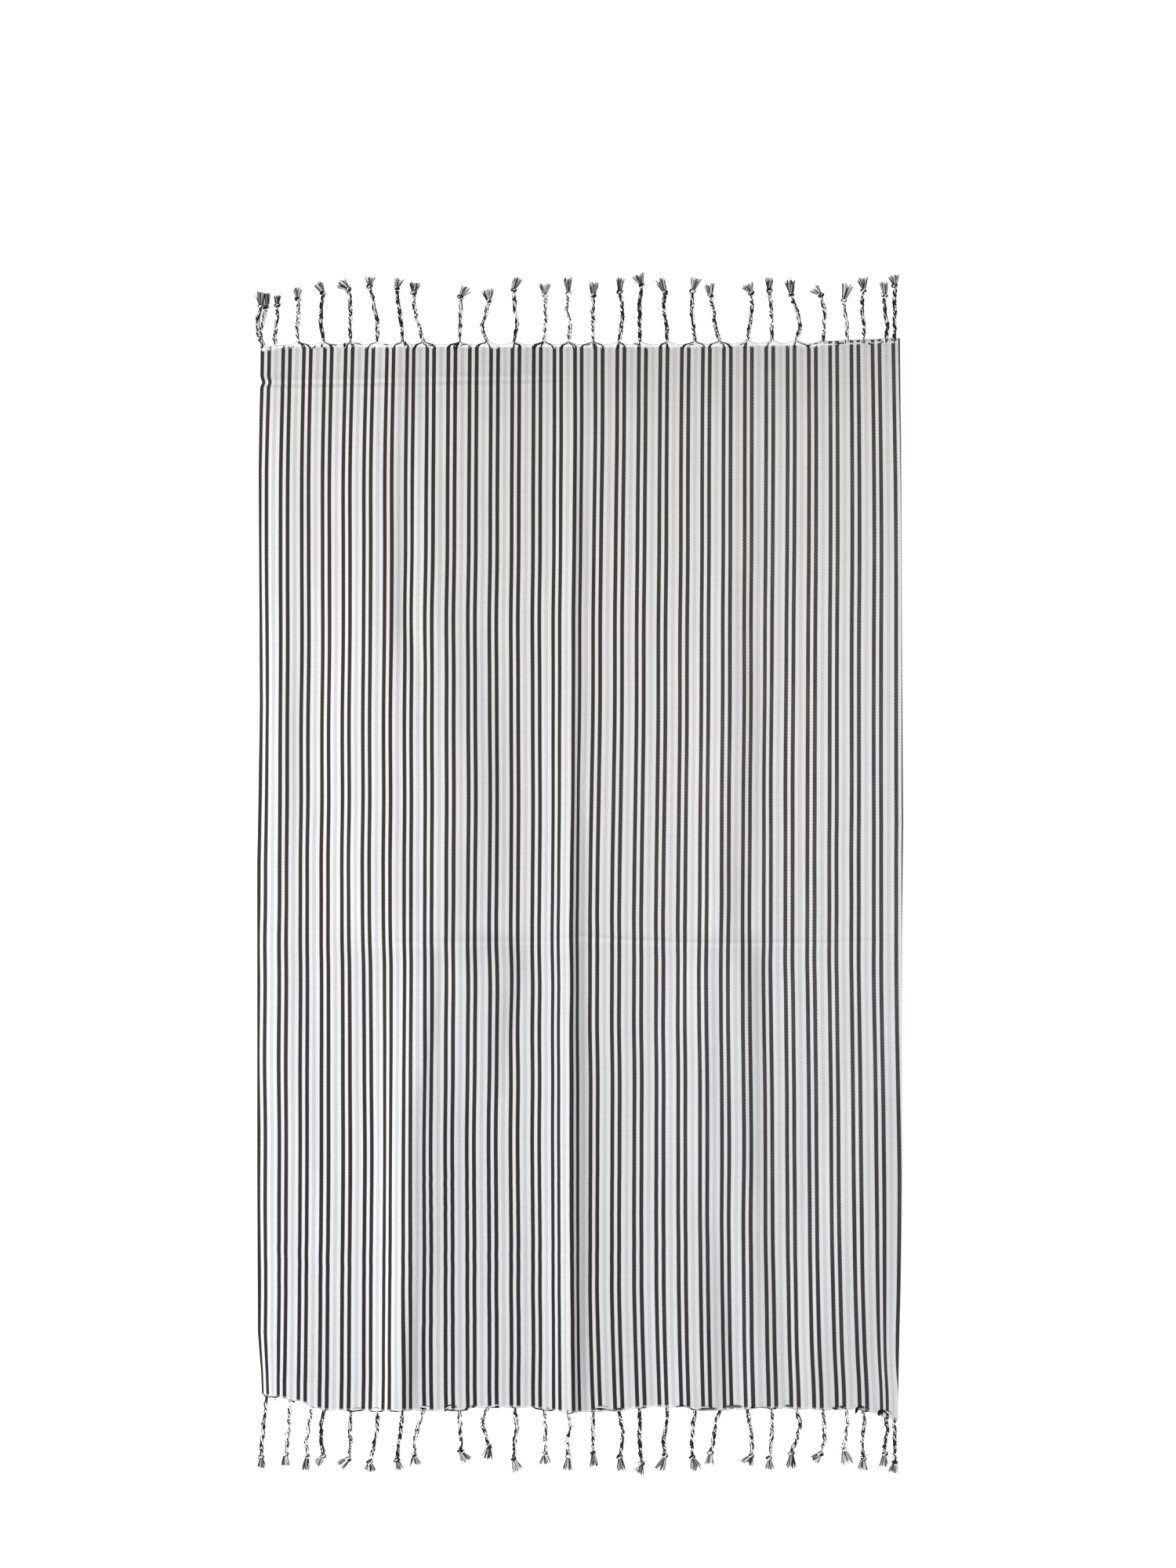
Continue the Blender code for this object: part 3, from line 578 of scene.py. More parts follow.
# how far the warp has moved to the left of an even spacing: y, then at each of these places across
DRIFT_PLACES = (-480, -400, -300, -225, -60, -18, 22, 60, 150, 250, 300, 400, 440, 480)
WARP_DRIFT = (
    (790, -1.5, -0.5, 0.5, 4, 2, 3.5, 4.5, 3, 1, 1.5, 1, 0, 0, -0.5),
    (652, 0.5, 2, 3.5, 5, 3, 3.5, 4.5, 3.5, 2.5, 2, 1, -0.5, -1.5, -1.5),
    (487, 1.5, 2, 4, 4.5, 3, 4, 5, 4, 2, 2, 1.5, -0.5, -2, -2.5),
    (311, 0.5, 0.5, 3.5, 5.5, 3.5, 5.5, 6.5, 5.5, 4, 3, 3, 1, -0.5, -2),
    (135, 0, 1, 4, 6.5, 4, 7, 6.5, 5.5, 4, 4, 4, 1, 0, -1),
    (41, 0, 3, 5.5, 7.5, 5, 8.5, 8, 7, 5, 4, 4, 2, 0, -1),
    (-41, 0.5, 3.5, 6, 8.5, 7, 10, 9.5, 8.5, 6.5, 4, 4, 1.5, 0, -2),
    (-90, 1.5, 3, 5.5, 8.5, 7.5, 10.5, 8.5, 7.5, 5.5, 4.5, 4.5, 2, 0, -2.5),
    (-158, 1, 3, 5.5, 8, 6, 9.5, 8, 7.5, 5.5, 4.5, 2, 0.5, -0.5, -3),
    (-276, 2, 3.5, 4.5, 6.5, 5, 8, 5.5, 5, 3, 2.5, 0.5, -1, -2.5, -4.5),
    (-393, 0.5, 4, 3.5, 7, 5.5, 7.5, 5, 4.5, 3, 1.5, 0.5, -1.5, -3, -6.5),
    (-511, 1, 4.5, 4.5, 6, 4, 6.5, 4.5, 4, 2, 2, 0, -2.5, -4.5, -7.5),
    (-628, 0, 5.5, 5.5, 5.5, 4, 5.5, 4, 3.5, 0.5, 0, -2.5, -5, -6.5, -8),
    (-711, 1, 6, 5.5, 3, 1, 4, 2, 1.5, -1, -1.5, -4, -7.5, -10, -8.5),
    (-770, 2, 6, 4.5, 2, 0.5, 2.5, 1.5, 0.5, -2, -2.5, -5.5, -10.5, -13, -14),
    (-820, 2, 6, 4.5, 1.5, 0, 2, 1, 0, -2.5, -3, -6, -11.5, -14, -15),
)
GUIDES = (
    lambda x: end_line("bottom", x),
    lambda x: straight_between(LOWER_CREASE, x),
    lambda x: straight_between(UPPER_CREASE, x),
    lambda x: end_line("top", x),
)


def row_line(guide, share, x):
    """Place along the towel of one row, at many places across it."""
    low, high = GUIDES[guide](x), GUIDES[guide + 1](x)
    return low + (high - low) * share


def row_of_points(guide, share):
    """x, y, height and place on the flat cloth for each point of one row."""
    y = row_line(guide, share, np.zeros(SAMPLES_ACROSS))
    for _ in range(ROUNDS):
        left, right = straight_between(LEFT_STRAIGHT, y[0]), straight_between(RIGHT_STRAIGHT, y[-1])
        even = np.linspace(left, right, SAMPLES_ACROSS)
        left_bend = straight_between(LEFT_EDGE, y[0]) - left
        right_bend = straight_between(RIGHT_EDGE, y[-1]) - right
        x = (even + left_bend * smooth(1.0 - (even - left) / BEND_FADE)
             + right_bend * smooth(1.0 - (right - even) / BEND_FADE))
        y = row_line(guide, share, x)
    height = cloth_height(x, y)
    steps = np.hypot(np.diff(even), FOLD_TAKE_UP * np.diff(height))
    length = np.concatenate([[0.0], np.cumsum(steps)])
    middle_y = y[SAMPLES_ACROSS // 2]
    drift = curve_between(WARP_DRIFT, middle_y)
    flat = (FLAT_WIDTH - TURNED_UNDER) * length / length[-1] + np.interp(x, DRIFT_PLACES, drift)
    first, last = flat[0], flat[-1]
    crest = np.interp(curve_between(CENTRE_RIDGE, middle_y)[0], x, flat)
    columns = np.concatenate([
        first + (crest - first) * left_shares, crest + (last - crest) * right_shares[1:]])
    take_up.append(length[-1])
    return [np.interp(columns, flat, values) for values in (x, y, height)] + [columns]


take_up = []
rows = [(guide, share) for guide, shares in enumerate(row_shares)
        for share in shares[(1 if guide else 0):]]
points = np.array([row_of_points(guide, share) for guide, share in rows])
print(f"cloth across, over the folds: {min(take_up):.0f} to {max(take_up):.0f} mm")

# %% The sheet's mesh
END_SHIFT = {"top": 0.0, "bottom": 2.0}     # the stripes stop this far short of the end line
row_count, column_count = points.shape[0], points.shape[2]
x, y, height, flat_across = (points[:, part, :].ravel() for part in range(4))
flat_along = y + FLAT_LENGTH / 2
corners = [(row, column) for row in range(row_count - 1) for column in range(column_count - 1)]
faces = [[row * column_count + column, row * column_count + column + 1,
          (row + 1) * column_count + column + 1, (row + 1) * column_count + column]
         for row, column in corners]
sheet_mesh = bpy.data.meshes.new("striped_cloth")
sheet_mesh.from_pydata(np.stack([x, y, height], axis=1) * MM, [], faces)
flat_map = sheet_mesh.uv_layers.new(name="flat_cloth")
loop_points = np.empty(len(sheet_mesh.loops), dtype=np.int32)
sheet_mesh.loops.foreach_get("vertex_index", loop_points)
flat_places = np.stack([flat_across, flat_along], axis=1)[loop_points] * MM
flat_map.data.foreach_set("uv", flat_places.astype(np.float32).ravel())
beyond = np.maximum(*(
    side * (y - straight_between(table, x)) + END_SHIFT[name]
    for name, (side, table, _) in ENDS.items()))
beyond_stripes = sheet_mesh.attributes.new("beyond_stripes", "FLOAT", "POINT")
beyond_stripes.data.foreach_set("value", beyond.astype(np.float32))
sheet_mesh.shade_smooth()
striped_cloth = in_scene("striped_cloth", sheet_mesh)
thickness = striped_cloth.modifiers.new("thickness", "SOLIDIFY")
thickness.thickness = SHEET_THICKNESS * MM
thickness.offset = 1.0
print("sheet faces, one side:", len(faces))

# %% [markdown]
# ## Helpers for nodes
# Materials and the fringe are both made of nodes, and a few helpers keep their recipes short.  One
# adds a node with its settings and inputs, some add arithmetic, noise or a mix, and one opens a
# named group.

# %% Helpers for nodes
NUMBER, COLOUR = "NodeSocketFloat", "NodeSocketColor"
GEOMETRY, MATERIAL = "NodeSocketGeometry", "NodeSocketMaterial"
SOCKET_KINDS = {float: NUMBER, int: "NodeSocketInt", tuple: "NodeSocketVector"}
MIX_SOCKETS = {"FLOAT": (2, 3, 0), "RGBA": (6, 7, 2)}     # of a Mix node: first, second, result


def add(tree, kind, inputs=None, **settings):
    """Add one node.  Each input is a value, or the socket that it is linked from."""
    node = tree.nodes.new(kind)
    for name, value in settings.items():
        setattr(node, name, value)
    for place, value in (inputs or {}).items():
        if isinstance(value, bpy.types.NodeSocket):
            tree.links.new(value, node.inputs[place])
        else:
            node.inputs[place].default_value = value
    return node


def maths(tree, operation, *values):
    """The result of one Math node."""
    return add(tree, "ShaderNodeMath", dict(enumerate(values)), operation=operation).outputs[0]


def product(tree, result, *factors):
    """Several values multiplied, from left to right."""
    for factor in factors:
        result = maths(tree, "MULTIPLY", result, factor)
    return result


def swung(tree, value, middle, amount):
    """How far a value is from its middle, times an amount."""
    return product(tree, maths(tree, "SUBTRACT", value, middle), amount)


def vector_maths(tree, operation, *values):
    """The result of one Vector Math node."""
    inputs = dict(enumerate(values))
    return add(tree, "ShaderNodeVectorMath", inputs, operation=operation).outputs[0]


def scaled(tree, vector, factor):
    """A vector made longer or shorter."""
    return add(tree, "ShaderNodeVectorMath", {0: vector, 3: factor}, operation="SCALE").outputs[0]


def mapped(tree, value, low, high, to_low=0.0, to_high=1.0):
    """A value eased from one range to another."""
    places = {0: value, 1: low, 2: high, 3: to_low, 4: to_high}
    return add(tree, "ShaderNodeMapRange", places, interpolation_type="SMOOTHSTEP").outputs[0]


def mixed(tree, share, first, second, kind="FLOAT"):
    """The first value or colour where the share is 0, and the second where it is 1."""
    first_place, second_place, result = MIX_SOCKETS[kind]
    places = {0: share, first_place: first, second_place: second}
    return add(tree, "ShaderNodeMix", places, data_type=kind).outputs[result]


def noise(tree, place, scale=1.0, detail=1.0):
    """Soft noise that swings about 0.5."""
    places = {"Vector": place, "Scale": scale, "Detail": detail}
    return add(tree, "ShaderNodeTexNoise", places).outputs[0]


def new_group(name, kind, inputs, outputs):
    """A node group with named sockets: name to starting value, or to a kind that has none."""
    tree = bpy.data.node_groups.new(name, kind)
    for label, value in inputs.items():
        socket_kind = value if isinstance(value, str) else SOCKET_KINDS[type(value)]
        socket = tree.interface.new_socket(label, in_out="INPUT", socket_type=socket_kind)
        if socket_kind != value:
            socket.default_value = value
    for label, socket_kind in outputs.items():
        tree.interface.new_socket(label, in_out="OUTPUT", socket_type=socket_kind)
    return tree, tree.nodes.new("NodeGroupInput").outputs, tree.nodes.new("NodeGroupOutput").inputs


def set_stops(ramp, stops):
    """Give a Color Ramp node its stops: place and colour."""
    elements = ramp.color_ramp.elements
    for place, _ in stops[1:-1]:
        elements.new(place)
    for element, (place, colour) in zip(elements, stops):
        element.position = place
        element.color = (*colour, 1.0)[:4]


def set_curve(node, marks):
    """Give a Float Curve node its marks: place and value."""
    curve = node.mapping.curves[0]
    node.mapping.clip_max_y = 2.0
    for place, value in marks[1:-1]:
        curve.points.new(place, value)
    for point, mark in zip(curve.points, marks):
        point.location = mark
    node.mapping.update()


def seen_as(red, green, blue, light=1.12):
    """The base colour of cotton that looks like this screen colour under this scene's light."""
    def straight(value):
        value = value / 255
        return value / 12.92 if value <= 0.04045 else ((value + 0.055) / 1.055) ** 2.4
    return (*(straight(value) / light for value in (red, green, blue)), 1.0)


print("helpers ready")

# %% [markdown]
# ## Cotton yarn, close up
# Cloth and fringe are the same cotton.  Its yarns are a little uneven: slubs, fine fibres and a
# faint variation from yarn to yarn.  One shader group gives all three from stretched noise, with
# the direction and the amount as inputs, and both materials use it with their own values.

# %% Shader group: uneven cotton
WEFT_STREAKS = (18.0, 900.0, 18.0)         # repeats a metre across, along and upwards
WARP_STREAKS = (1100.0, 6.0, 1100.0)

uneven_cotton, given, made = new_group(
    "uneven_cotton", "ShaderNodeTree",
    {"Place": (0.0, 0.0, 0.0), "Colour": COLOUR, "Fibre size": 0.0008, "Fibre amount": 0.1,
     "Streak amount": 0.05},
    {"Colour": COLOUR, "Height": NUMBER})
tree = uneven_cotton
in_fibres = scaled(tree, given["Place"], maths(tree, "DIVIDE", 1.0, given["Fibre size"]))
fibres = noise(tree, in_fibres, detail=2.0)
weft_streaks, warp_streaks = (
    noise(tree, vector_maths(tree, "MULTIPLY", given["Place"], fineness))
    for fineness in (WEFT_STREAKS, WARP_STREAKS))
streaks = swung(tree, maths(tree, "ADD", weft_streaks, warp_streaks), 1.0, given["Streak amount"])
grain = swung(tree, fibres, 0.5, given["Fibre amount"])
brightness = maths(tree, "ADD", maths(tree, "ADD", streaks, grain), 1.0)
tree.links.new(scaled(tree, given["Colour"], brightness), made["Colour"])
tree.links.new(fibres, made["Height"])
print("group:", tree.name)

# %% [markdown]
# ## Stripes and twill
# The stripes repeat every 32.6 mm: two dark bands with a cream one between them, then a pale blue
# band between two beige ones.  The weft crosses the warp one yarn further along on each pick, and
# that makes the slanted lines of a twill.  In the dark bands the pale weft shows as light hatching.
# It comes and goes in patches, is strongest on the right, and fades towards the lower end.  All of
# it is worked out from the UV map, so it follows the cloth over the folds.

# %% Shader group: stripes of the warp
STRIPE_REPEAT = 32.6       # mm
BAND_EDGE = 0.007          # softness of a band's edge, as a share of the repeat
BLUE_EDGE = 0.02           # the same for the pale blue band
EDGE_WAVER = (0.9, 0.45)   # how often an edge strays, across and along, in a millimetre
DARK = seen_as(20, 19, 27)
CREAM = seen_as(236, 232, 226)
BEIGE = seen_as(234, 230, 225)
PALE_BLUE = seen_as(200, 209, 215)
BANDS = (
    (0.0, 0.179, DARK), (0.179, 0.326, CREAM), (0.326, 0.508, DARK), (0.508, 0.657, BEIGE),
    (0.657, 0.838, PALE_BLUE), (0.838, 1.0, BEIGE),
)

warp_stripes, given, made = new_group(
    "warp_stripes", "ShaderNodeTree", {"Across": 0.0, "Along": 0.0, "Unevenness": 0.35},
    {"Colour": COLOUR, "Dark": NUMBER})
tree = warp_stripes
edge_place = add(tree, "ShaderNodeCombineXYZ", {
    "X": product(tree, given["Across"], EDGE_WAVER[0]),
    "Y": product(tree, given["Along"], EDGE_WAVER[1])}).outputs[0]
wander = swung(tree, noise(tree, edge_place), 0.5, given["Unevenness"])
strayed = maths(tree, "ADD", given["Across"], wander)
repeat_share = maths(tree, "FRACT", maths(tree, "DIVIDE", strayed, STRIPE_REPEAT))
ramp = add(tree, "ShaderNodeValToRGB", {"Fac": repeat_share})
set_stops(ramp, [(place, (*colour[:3], 1.0 if colour == DARK else 0.0))
                 for start, stop, colour in BANDS
                 for edge in [BLUE_EDGE if colour == PALE_BLUE else BAND_EDGE]
                 for place in (start + edge, stop - edge)])
tree.links.new(ramp.outputs["Color"], made["Colour"])
tree.links.new(ramp.outputs["Alpha"], made["Dark"])
print("bands in a repeat:", len(BANDS))

# %% Shader group: slanted lines of the twill
TWILL_ACROSS, TWILL_ALONG = 3.5, 4.96      # mm from one line to the next
TWILL_RISE = (-0.6, 0.9)                   # a line comes up between these two heights of a wave

twill_lines, given, made = new_group(
    "twill_lines", "ShaderNodeTree", {"Across": 0.0, "Along": 0.0}, {"Line": NUMBER})
tree = twill_lines
line_phase = maths(
    tree, "ADD", maths(tree, "DIVIDE", given["Across"], TWILL_ACROSS),
    maths(tree, "DIVIDE", given["Along"], TWILL_ALONG))
wave = maths(tree, "SINE", product(tree, line_phase, 2 * math.pi))
tree.links.new(mapped(tree, wave, *TWILL_RISE), made["Line"])
print("twill: lines", TWILL_ACROSS, "by", TWILL_ALONG, "mm")

# %% [markdown]
# ## The two materials
# Both start as matt cotton with a trace of sheen.  The cloth's is put together like the cloth: the
# warp's stripes, the weft over them, then painted light: the colour is darkened towards both ends,
# with a slight change of tint, and lightened at the left edge, as the light falls off.  The plain
# woven end past the stripes is mixed in after this painted light, so that it stays white.  The
# yarn's takes its shade from a value that each yarn of the fringe brings with it.  A painted
# picture would do for one towel, but these numbers can be changed for the next.

# %% Helpers for cotton materials
SHEEN, SHEEN_ROUGHNESS = 0.05, 0.5


def cotton_material(name, roughness, gloss):
    """A plain matt cotton: the material, its nodes and its shader."""
    material = bpy.data.materials.new(name)
    material.use_nodes = True
    shader = material.node_tree.nodes["Principled BSDF"]
    shader.inputs["Roughness"].default_value = roughness
    shader.inputs["Specular IOR Level"].default_value = gloss
    shader.inputs["Sheen Weight"].default_value = SHEEN
    shader.inputs["Sheen Roughness"].default_value = SHEEN_ROUGHNESS
    return material, material.node_tree, shader


def link_finish(tree, shader, colour, relief, depth, strength):
    """Give a shader its colour, and its relief through a Bump node."""
    bump = add(tree, "ShaderNodeBump", {"Height": relief, "Distance": depth, "Strength": strength})
    tree.links.new(colour, shader.inputs["Base Color"])
    tree.links.new(bump.outputs["Normal"], shader.inputs["Normal"])


print("matt cotton with sheen", SHEEN)

# %% Striped cotton: its colours, how they change over the cloth, and its painted light
WEFT_ON_DARK = seen_as(122, 121, 126)
WEFT_ON_PALE = seen_as(222, 220, 217)
PLAIN_END = seen_as(250, 248, 250)
# share of the way along the cloth, and the painted light there: darker and tinted towards both ends
PAINTED_LIGHT_ALONG = (
    (0.0, (0.818, 0.830, 0.855)), (0.11, (0.857, 0.870, 0.894)), (0.35, (0.911, 0.920, 0.940)),
    (0.60, (0.968, 0.970, 0.972)), (0.72, (0.972, 0.970, 0.963)), (0.92, (0.932, 0.928, 0.916)),
    (1.0, (0.812, 0.808, 0.796)),
)
# share of the way across, and the painted light there: lighter at the left edge
PAINTED_LIGHT_ACROSS = ((0.0, 1.03), (0.14, 1.03), (0.29, 0.965), (0.55, 0.96), (0.78, 0.985), (1.0, 1.0))
# from one place on the flat cloth to another, in mm, and the amount at each of the two
PALE_WEFT_ACROSS = (150.0, 800.0, 0.0, 0.25)
SLANT_ACROSS = (300.0, 850.0, 0.65, 1.1)
WEFT_ACROSS = (400.0, 850.0, 0.3, 0.58)
WEFT_ALONG = (0.0, 700.0, 0.55, 1.05)
FRAY_ALONG = (400.0, 1200.0, 1.5, 0.4)
PLAIN_END_ALONG = (400.0, 1200.0, 0.25, 1.0)
PATCHES = (60.0, 9.0, 1.0)                # of stronger hatching: how many a metre
SLANT_IN_PATCHES = (0.35, 0.65, 0.35, 1.9)
MEAN_LINE = 0.45                          # how much of the twill's lines shows on average
LINE_SHADE = 0.03                         # how much darker a line is on the pale bands
FRAY_FINENESS = 90.0
END_EDGE = (-0.3, 0.5)                    # mm past the last stripe, where the plain end begins
TWILL_RELIEF = 0.00012                    # metres
TWILL_PART, FIBRE_PART = 0.6, 0.8         # of the lines and of the fibres in the relief
print("hatching across the cloth:", WEFT_ACROSS[2], "to", WEFT_ACROSS[3])

# %% Striped cotton: weft over warp
striped_cotton, tree, shader = cotton_material("woven_stripes", roughness=0.92, gloss=0.25)
sheet_mesh.materials.append(striped_cotton)
flat_place = add(tree, "ShaderNodeUVMap", uv_map="flat_cloth").outputs[0]
in_mm = add(tree, "ShaderNodeSeparateXYZ", {0: scaled(tree, flat_place, 1 / MM)}).outputs
across, along = in_mm["X"], in_mm["Y"]
stripes, twill = (
    add(tree, "ShaderNodeGroup", {"Across": across, "Along": along}, node_tree=group).outputs
    for group in (warp_stripes, twill_lines))

pale = maths(tree, "SUBTRACT", 1.0, stripes["Dark"])
weft_on_pale = product(tree, pale, mapped(tree, across, *PALE_WEFT_ACROSS))
woven = mixed(tree, weft_on_pale, stripes["Colour"], WEFT_ON_PALE, "RGBA")
patches = noise(tree, vector_maths(tree, "MULTIPLY", flat_place, PATCHES))
slant = product(
    tree, maths(tree, "SUBTRACT", twill["Line"], MEAN_LINE), mapped(tree, across, *SLANT_ACROSS),
    mapped(tree, patches, *SLANT_IN_PATCHES))
weft_shows = product(
    tree, maths(tree, "ADD", slant, MEAN_LINE), mapped(tree, across, *WEFT_ACROSS),
    mapped(tree, along, *WEFT_ALONG))
weft_amount = product(tree, stripes["Dark"], weft_shows)
hatched = mixed(tree, weft_amount, woven, WEFT_ON_DARK, "RGBA")
line_shade = maths(tree, "SUBTRACT", 1.0, product(tree, twill["Line"], LINE_SHADE))
hatched = scaled(tree, hatched, line_shade)
print("material:", striped_cotton.name)

# %% Striped cotton: its painted light falloff, its plain ends and its relief
painted_light_along = add(tree, "ShaderNodeValToRGB", {"Fac": maths(tree, "DIVIDE", along, FLAT_LENGTH)})
set_stops(painted_light_along, PAINTED_LIGHT_ALONG)
painted_light_across = add(tree, "ShaderNodeFloatCurve", {
    "Value": maths(tree, "DIVIDE", across, FLAT_WIDTH)})
set_curve(painted_light_across, PAINTED_LIGHT_ACROSS)
# painted light and shade: the woven colour darkened towards both ends and lightened at the left
painted_lit = vector_maths(tree, "MULTIPLY", hatched, painted_light_along.outputs["Color"])
with_painted_light = scaled(tree, painted_lit, painted_light_across.outputs["Value"])

past_stripes = add(tree, "ShaderNodeAttribute", attribute_name="beyond_stripes").outputs["Fac"]
frayed = noise(tree, flat_place, scale=FRAY_FINENESS, detail=3.0)
fray = swung(tree, frayed, 0.5, mapped(tree, along, *FRAY_ALONG))
end_mask = product(
    tree, mapped(tree, maths(tree, "ADD", past_stripes, fray), *END_EDGE),
    mapped(tree, along, *PLAIN_END_ALONG))
ended = mixed(tree, end_mask, with_painted_light, PLAIN_END, "RGBA")

cotton = add(tree, "ShaderNodeGroup", {
    "Place": flat_place, "Colour": ended, "Fibre size": 0.0011, "Fibre amount": 0.16,
    "Streak amount": 0.16}, node_tree=uneven_cotton).outputs
relief = maths(tree, "ADD", product(tree, twill["Line"], TWILL_PART),
               product(tree, cotton["Height"], FIBRE_PART))
link_finish(tree, shader, cotton["Colour"], relief, TWILL_RELIEF, strength=1.0)
print("nodes in it:", len(tree.nodes))

# %% Fringe yarn: from dark to natural by its shade
YARN_SHADES = (
    (0.0, seen_as(6, 6, 7)), (0.2, seen_as(62, 61, 60)), (0.45, seen_as(152, 150, 147)),
    (0.65, seen_as(213, 213, 212)), (1.0, seen_as(254, 252, 249)),
)
YARN_RELIEF = 0.0002                      # metres

fringe_yarn, tree, shader = cotton_material("two_tone_yarn", roughness=0.95, gloss=0.2)
shade = add(tree, "ShaderNodeAttribute", attribute_name="shade").outputs["Fac"]
ramp = add(tree, "ShaderNodeValToRGB", {"Fac": shade})
set_stops(ramp, YARN_SHADES)
object_place = add(tree, "ShaderNodeTexCoord").outputs["Object"]
cotton = add(tree, "ShaderNodeGroup", {
    "Place": object_place, "Colour": ramp.outputs["Color"], "Fibre size": 0.0006,
    "Fibre amount": 0.35, "Streak amount": 0.0}, node_tree=uneven_cotton).outputs
link_finish(tree, shader, cotton["Colour"], cotton["Height"], YARN_RELIEF, strength=0.8)
print("material:", fringe_yarn.name)

# %% [markdown]
# ## Paths of the fringe
# Every yarn of the fringe follows a path: down a cord, round a knot, out of the woven end into a
# root, along the edge between two roots, or out of a knot into a brush.  The paths are plain
# polylines with a few values on their points, such as how far the plies have turned.  Geometry
# Nodes will then turn each path into its yarns, so one recipe serves all 55 tassels.  Modelling
# every yarn by hand would take days, and copies of one tassel would look too regular.

# %% A bundle of paths
CORD, KNOT, GATHER, EDGE, BRUSH, STRAY = map(float, range(6))     # kinds of path, for the nodes
PATH_VALUES = {"kind": 0.0, "spread": 1.0, "girth": 1.0, "twist": 0.0, "plaited": 0.0,
               "identity": 0.0, "dark_yarns": 0.0, "pale_shade": 1.0, "dark_share": 0.5}
PATH_VECTORS = {"start": (0.0, 0.0, 0.0), "sideways": (1.0, 0.0, 0.0)}


class Paths:
    """Polylines, in millimetres, with the same named values on every point."""

    def __init__(self):
        self.points, self.edges, self.count = [], [], 0
        self.values = {name: [] for name in {**PATH_VALUES, **PATH_VECTORS}}

    def add(self, line, closed=False, **values):
        """Add a polyline.  Each value is one number for all its points, or one for each point."""
        first, count = len(self.points), len(line)
        self.count += 1
        self.points += [tuple(point) for point in line]
        self.edges += [(first + k, first + k + 1) for k in range(count - 1)]
        if closed:
            self.edges.append((first + count - 1, first))
        values["identity"] = self.count
        for name, start in {**PATH_VALUES, **PATH_VECTORS}.items():
            value = values.get(name, start)
            if name in PATH_VALUES and np.ndim(value) == 1:
                self.values[name] += list(value)
            else:
                self.values[name] += [value] * count

    def mesh(self, name):
        """One mesh of edges, in metres, with the values as attributes."""
        mesh = bpy.data.meshes.new(name)
        mesh.from_pydata(np.array(self.points) * MM, self.edges, [])
        for label, values in self.values.items():
            if label in PATH_VALUES:
                attribute = mesh.attributes.new(label, "FLOAT", "POINT")
                attribute.data.foreach_set("value", np.array(values, dtype=np.float32))
            else:
                attribute = mesh.attributes.new(label, "FLOAT_VECTOR", "POINT")
                places = np.array(values, dtype=np.float32).ravel()
                attribute.data.foreach_set("vector", places)
        return mesh


print("values on a path:", ", ".join({**PATH_VALUES, **PATH_VECTORS}))

# %% Sizes of the tassels
CORD_POINTS = 34
CORD_SWAY = 0.5             # small bends from side to side
CORD_CENTRE = 3.2           # height of a cord's middle where it lies on the surface
ROOT_LIFT = 0.6             # of a cord's middle over the cloth where it starts
SETTLE_LENGTH = 22.0        # over which it comes down from the cloth to the surface
SPREAD_WAVER, TWIST_WAVER = 0.14, 0.16
DARK_PATCHES = 1.6          # yarns by which the dark share comes and goes along a cord
FEWEST_PLAIT_TURNS = 3.0    # cords with fewer turns are twisted instead
KNOT_CENTRE = 4.9
KNOT_POINTS = 34
KNOT_WRAP, KNOT_TUBE, KNOT_FLATNESS = 2.9, 1.3, 0.72
KNOT_HALF_LENGTH = 4.0
BRUSH_ROOT, BRUSH_TIP = 2.6, 1.2     # height of a brush's middle at its knot and at its end
BRUSH_ROOT_HALF_WIDTH = 2.1
BRUSH_FULLNESS = 1.3
STRAYS = 2                  # loose yarns at each knot
STRAY_TURN = (40, 140)      # degrees away from the cord
STRAY_LENGTH = (6.0, 9.5)
STRAY_HOOK = 3.0            # how far its end may bend aside
dice = np.random.default_rng(5)


def cord_line(end_name, tassel):
    """Middle of a cord from the woven end to its knot."""
    side = ENDS[end_name][0]
    root_x, high_x, low_x, knot_x, knot_y = tassel[:5]
    root_y = float(end_line(end_name, root_x) - side * set_back(end_name, root_x))
    share = np.linspace(0.0, 1.0, CORD_POINTS)
    bends = ((0.0, root_x), (1 / 3, high_x), (2 / 3, low_x), (1.0, knot_x))
    across = curve_between(bends, share)[0]
    sway = CORD_SWAY * np.sin(share * 17.0 + dice.uniform(0.0, 6.0)) * smooth(share * 4.0)
    along = root_y + (side * knot_y - root_y) * share
    root_lift = float(cloth_height(root_x, root_y)) + SHEET_THICKNESS + ROOT_LIFT
    settled = smooth(np.abs(along - root_y) / SETTLE_LENGTH)
    rise = root_lift + (CORD_CENTRE - root_lift) * settled
    return np.stack([across + sway, along, rise], axis=1)


def knot_line(centre, heading, start):
    """A closed wrap that passes twice round the cord and crosses itself, like a tight knot."""
    turn = np.linspace(0.0, 2 * math.pi, KNOT_POINTS, endpoint=False)
    around = KNOT_WRAP + KNOT_TUBE * np.cos(3 * turn + start)
    across = around * np.cos(2 * turn)
    up = around * np.sin(2 * turn) * KNOT_FLATNESS
    along = 1.5 * KNOT_TUBE * np.sin(3 * turn + start)
    sideways = np.array([-heading[1], heading[0]])
    flat = centre[:2] + np.outer(along, heading) + np.outer(across, sideways)
    return np.column_stack([flat, centre[2] + up])


def add_stray(paths, centre, heading, dark):
    """A loose yarn that sticks out of a knot."""
    away = dice.choice((-1, 1)) * math.radians(dice.uniform(*STRAY_TURN))
    turned = np.array([heading[0] * math.cos(away) - heading[1] * math.sin(away),
                       heading[0] * math.sin(away) + heading[1] * math.cos(away)])
    length, hook = dice.uniform(*STRAY_LENGTH), dice.uniform(-1.0, 1.0)
    share = np.linspace(0.0, 1.0, 6)
    flat = (centre[:2] + np.outer(share * length, turned)
            + np.outer(hook * STRAY_HOOK * share**2, (-turned[1], turned[0])))
    rise = 4.0 - 3.3 * share**1.5          # from the knot down to the surface
    paths.add(np.column_stack([flat, rise]), kind=STRAY, dark_yarns=dark, girth=1.0 - 0.4 * share)


